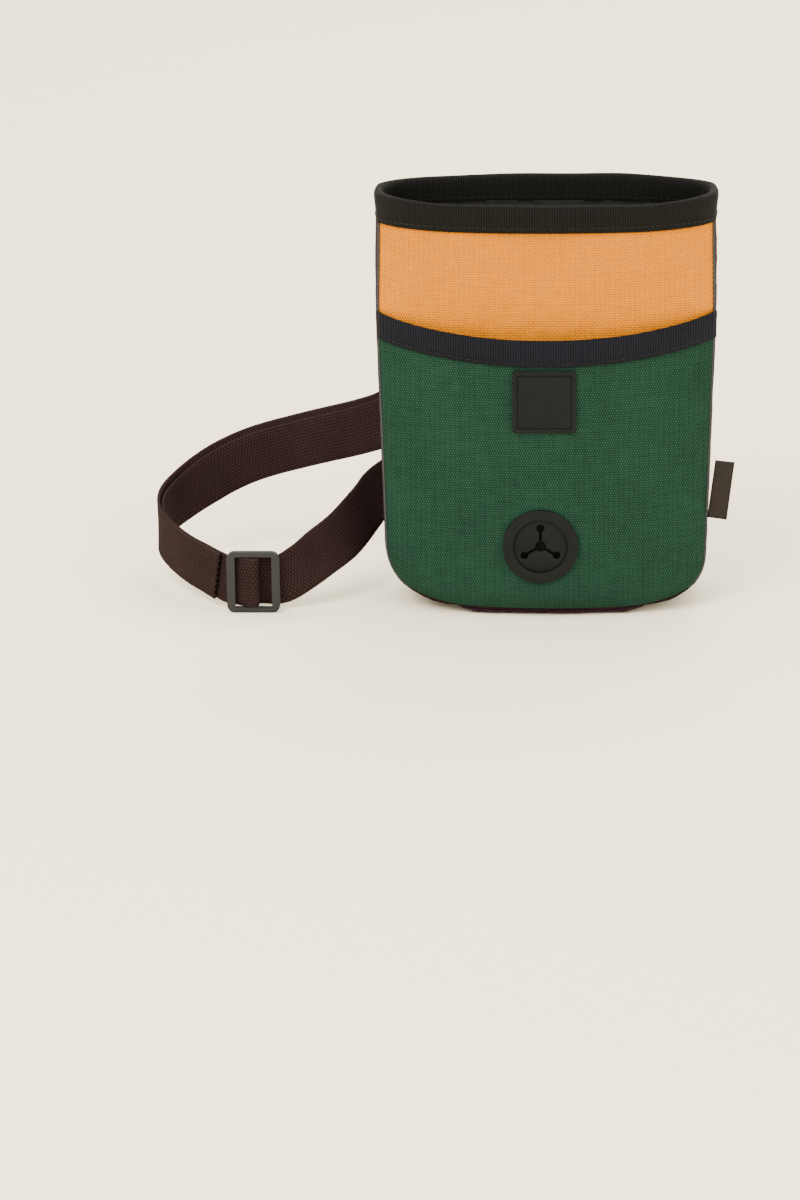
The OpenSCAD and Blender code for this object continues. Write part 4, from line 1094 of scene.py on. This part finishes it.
def zip_frame():
    """The window's cut edge, turned in, and the stitch rectangle round it."""
    corners = rounded_box(zip_half + 0.05, zip_low, zip_high, 1.6)
    x, z, _ = curve_through(np.column_stack([corners, np.zeros(len(corners))]), 2.0).T
    line = on_zip(x + 0.6 * 0.12 * bumps(z, x, seed=72, size=8), 0.02, z)
    line[:, 1] = back_y(line[:, 0]) - 0.45
    sweep("zip_cut_edge", line[:-1], (0, 1, 0), round_section(0.3, 8) * (1.3, 1.0), PALE_EDGE, "pouch",
          (), closed=True)
    wide, low, high = zip_half + 3.1, zip_low - 3.9, zip_high + 3.4
    box = np.array([(-wide, low), (wide, low), (wide, high), (-wide, high), (-wide, low)])
    rows = []
    for a, b in zip(box[:-1], box[1:]):
        x, z = (a + (b - a) * np.linspace(0.0, 1.0, 30)[:, None]).T
        p = on_zip(x, 0.0, z)
        p[:, 1] = back_y(p[:, 0]) + 0.12
        rows.append((p, (0, 1, 0)))
    stitches("zip_stitches", rows, GREEN_THREAD, length=2.0, gap=1.1, radius=0.36, sink=0.0)


def pull_tab():
    """Cloth tab folded round the ring's bar, with its reflector and sewn across near each end."""
    top_y, top_z, cloth_out = 1.7, 145.9, 0.55
    tab_end, neck_half, tab_half = -44.0, 2.4, 5.6
    leg = [(cloth_out, tab_end), (0.6, -30.0), (cloth_out, -12.0), (0.6, -5.0), (1.35, -2.2),
           (1.43, 0.0), (1.0, 1.0)]
    profile = leg + [(0.0, 1.43)] + [(-y, z) for y, z in leg[::-1]]
    y, z = curve_through([(0, *p) for p in profile], 1.0).T[1:, :, None]
    k = np.linspace(-1, 1, 13)
    half = neck_half + (tab_half - neck_half) * smoothstep(-4.2, -6.0, z)
    end = 1.2 * np.abs(k) ** 6 * (z < tab_end + 0.5)
    p = on_zip(k * half, top_y + y * (1 + 0.1 * k * k), top_z + z + end)
    far = lengths(np.column_stack([y, z]))[:, None]
    sheet("pull_tab_cloth", p, k * half, far, ZIP_TAPE, ["zip_pull_tab"], 0.85, 0.0,
          body="zip_tab")
    X, Z = np.meshgrid(np.linspace(-1.4, 3.9, 9), np.linspace(-43.0, -8.4, 36))
    Y = top_y + cloth_out + 0.59 + 0.05 * np.sin(Z * 0.4) - 0.22 * np.abs((X - 1.25) / 2.95) ** 8
    sheet("reflector_strip", on_zip(X, Y, top_z + Z), X, Z, REFLECT, ["zip_pull_reflector"],
          0.2, flip=True, body="zip_tab")
    rows = [(on_zip(np.linspace(-5.2, 5.2, 12), top_y + 2 * cloth_out, top_z + z), zip_out)
            for z in (-9.8, -11.0, -42.2)]
    stitches("pull_tab_stitches", rows, BLACK_THREAD, "zip_tab", length=1.5, gap=0.5, radius=0.24,
             sink=0.0)


def zip_bag():
    """The zip pocket's thin bag between the back panel and the lining, hanging slack."""
    u, v = np.meshgrid(np.linspace(-1, 1, 25), np.linspace(0, 1, 60))
    x, z = 52.25 + 21.5 * u, 25 + 145 * v
    dome = lambda t, power: np.sqrt(np.clip(1 - np.abs(t) ** power, 0, 1))
    full = dome(u, 8) * dome(2 * v - 1, 10)
    slack = 0.25 * bumps(x, z, seed=81, size=18)
    p = np.concatenate([np.stack([x, back_y(x) - 4.4 + way * (depth + slack) * full, z], axis=-1)
                        for way, depth in ((1, 1.75), (-1, 1.35))])
    faces = grid_faces(*x.shape, flip=True) + grid_faces(*x.shape, base=x.size)
    sheet("zip_bag_cloth", p, np.concatenate([x, x]), np.concatenate([z, z]), LINING,
          ["zip_pocket_bag"], faces=faces)


zip_tape("left", -1)
zip_tape("right", 1)
zip_frame()
pull_tab()
zip_bag()


# ---- Side label ----

def label():
    """Folded satin label in the right seam: two layers that part a little at the open sides."""
    lean, reach = math.radians(7), 9.2
    base = np.array((80.6, -22.0, 59.5))
    out = np.array((math.cos(lean), 0, -math.sin(lean)))
    up = np.array((math.sin(lean), 0, math.cos(lean)))
    profile = [(t * reach, 0.34 - 0.1 * t) for t in np.linspace(0, 1, 9)]
    profile += [(reach + 0.3 * math.cos(a), 0.27 * math.sin(a)) for a in np.linspace(1.4, -1.4, 5)]
    profile += [(t * reach, -0.34 + 0.1 * t) for t in np.linspace(1, 0, 9)]
    profile = np.array(profile)
    a, b = profile.T[:, None, :, None]
    v = np.linspace(-14.5, 14.5, 30)[:, None, None]
    curl = 0.45 * (a / reach) ** 2 * np.sin(v * 0.11 + 0.6)
    p = base + a * out + v * up + (b + curl) * np.array((0, 1, 0))
    sheet("side_label_satin", p, lengths(profile)[None], v[..., 0], LABEL, ["side_label"],
          0.18, 0.0)


label()


# ---- Moulded pieces: the CAD's own shapes, with rounded edges and their materials ----

def dress(node, material, rounding):
    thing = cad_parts[node]
    thing.data.materials.clear()
    thing.data.materials.append(material)
    thing.data.polygons.foreach_set("use_smooth", [True] * len(thing.data.polygons))
    weld = thing.modifiers.new("weld", "WELD")
    weld.merge_threshold = 0.00001
    bevel = thing.modifiers.new("edges", "BEVEL")
    bevel.width, bevel.segments = rounding * MM, 2
    bevel.limit_method, bevel.angle_limit = "ANGLE", math.radians(32)
    bevel.harden_normals = True


for node, material, rounding in (
        ("dispenser_ring", RUBBER, 0.3), ("dispenser_disc", RUBBER, 0.15), ("patch", RUBBER, 0.25),
        ("cord_eyelet", PLASTIC, 0.15), ("cord_lock_body", PLASTIC, 0.35),
        ("cord_lock_plunger", PLASTIC, 0.3),
        ("female_buckle", PLASTIC, 0.3), ("male_buckle_frame", PLASTIC, 0.15),
        ("male_prong_left", PLASTIC, 0.2), ("male_prong_right", PLASTIC, 0.2),
        ("zip_slider", ZIP_METAL, 0.15), ("zip_pull_ring", GREY, 0.15), ("triglide", GREY, 0.35)):
    dress(node, material, rounding)


# ---- Floor, light and the end ----

def stage():
    mesh, half = bpy.data.meshes.new("floor"), 40
    mesh.from_pydata([(-half, -half, 0), (half, -half, 0), (half, half, 0), (-half, half, 0)], [],
                     [(0, 1, 2, 3)])
    floor = add_object("floor", mesh)
    mat = bpy.data.materials.new("floor")
    mat.use_nodes = True
    shader = mat.node_tree.nodes["Principled BSDF"]
    for key, value in (("Base Color", (1.0, 0.90, 0.70, 1)), ("Roughness", 0.9),
                       ("Specular IOR Level", 0.1)):
        shader.inputs[key].default_value = value
    mesh.materials.append(mat)
    world = bpy.data.worlds.new("studio")
    bpy.context.scene.world = world
    world.use_nodes = True
    back = world.node_tree.nodes["Background"]
    back.inputs["Color"].default_value = (0.98, 0.93, 0.80, 1)
    back.inputs["Strength"].default_value = 2.6
    look = Vector((0, 0, 0.1))
    for name, place, size, power in (("key", (-1.1, -1.6, 2.0), 1.2, 75),
                                     ("fill", (1.6, -1.4, 1.1), 1.6, 20),
                                     ("rim", (0.5, 1.8, 1.9), 1.2, 45)):
        data = bpy.data.lights.new(name, "AREA")
        data.energy, data.size, data.color = power, size, (1, 0.98, 0.95)
        light = add_object(name, data)
        light.location = place
        light.rotation_mode = "QUATERNION"
        light.rotation_quaternion = (look - Vector(place)).to_track_quat("-Z", "Y")


stage()
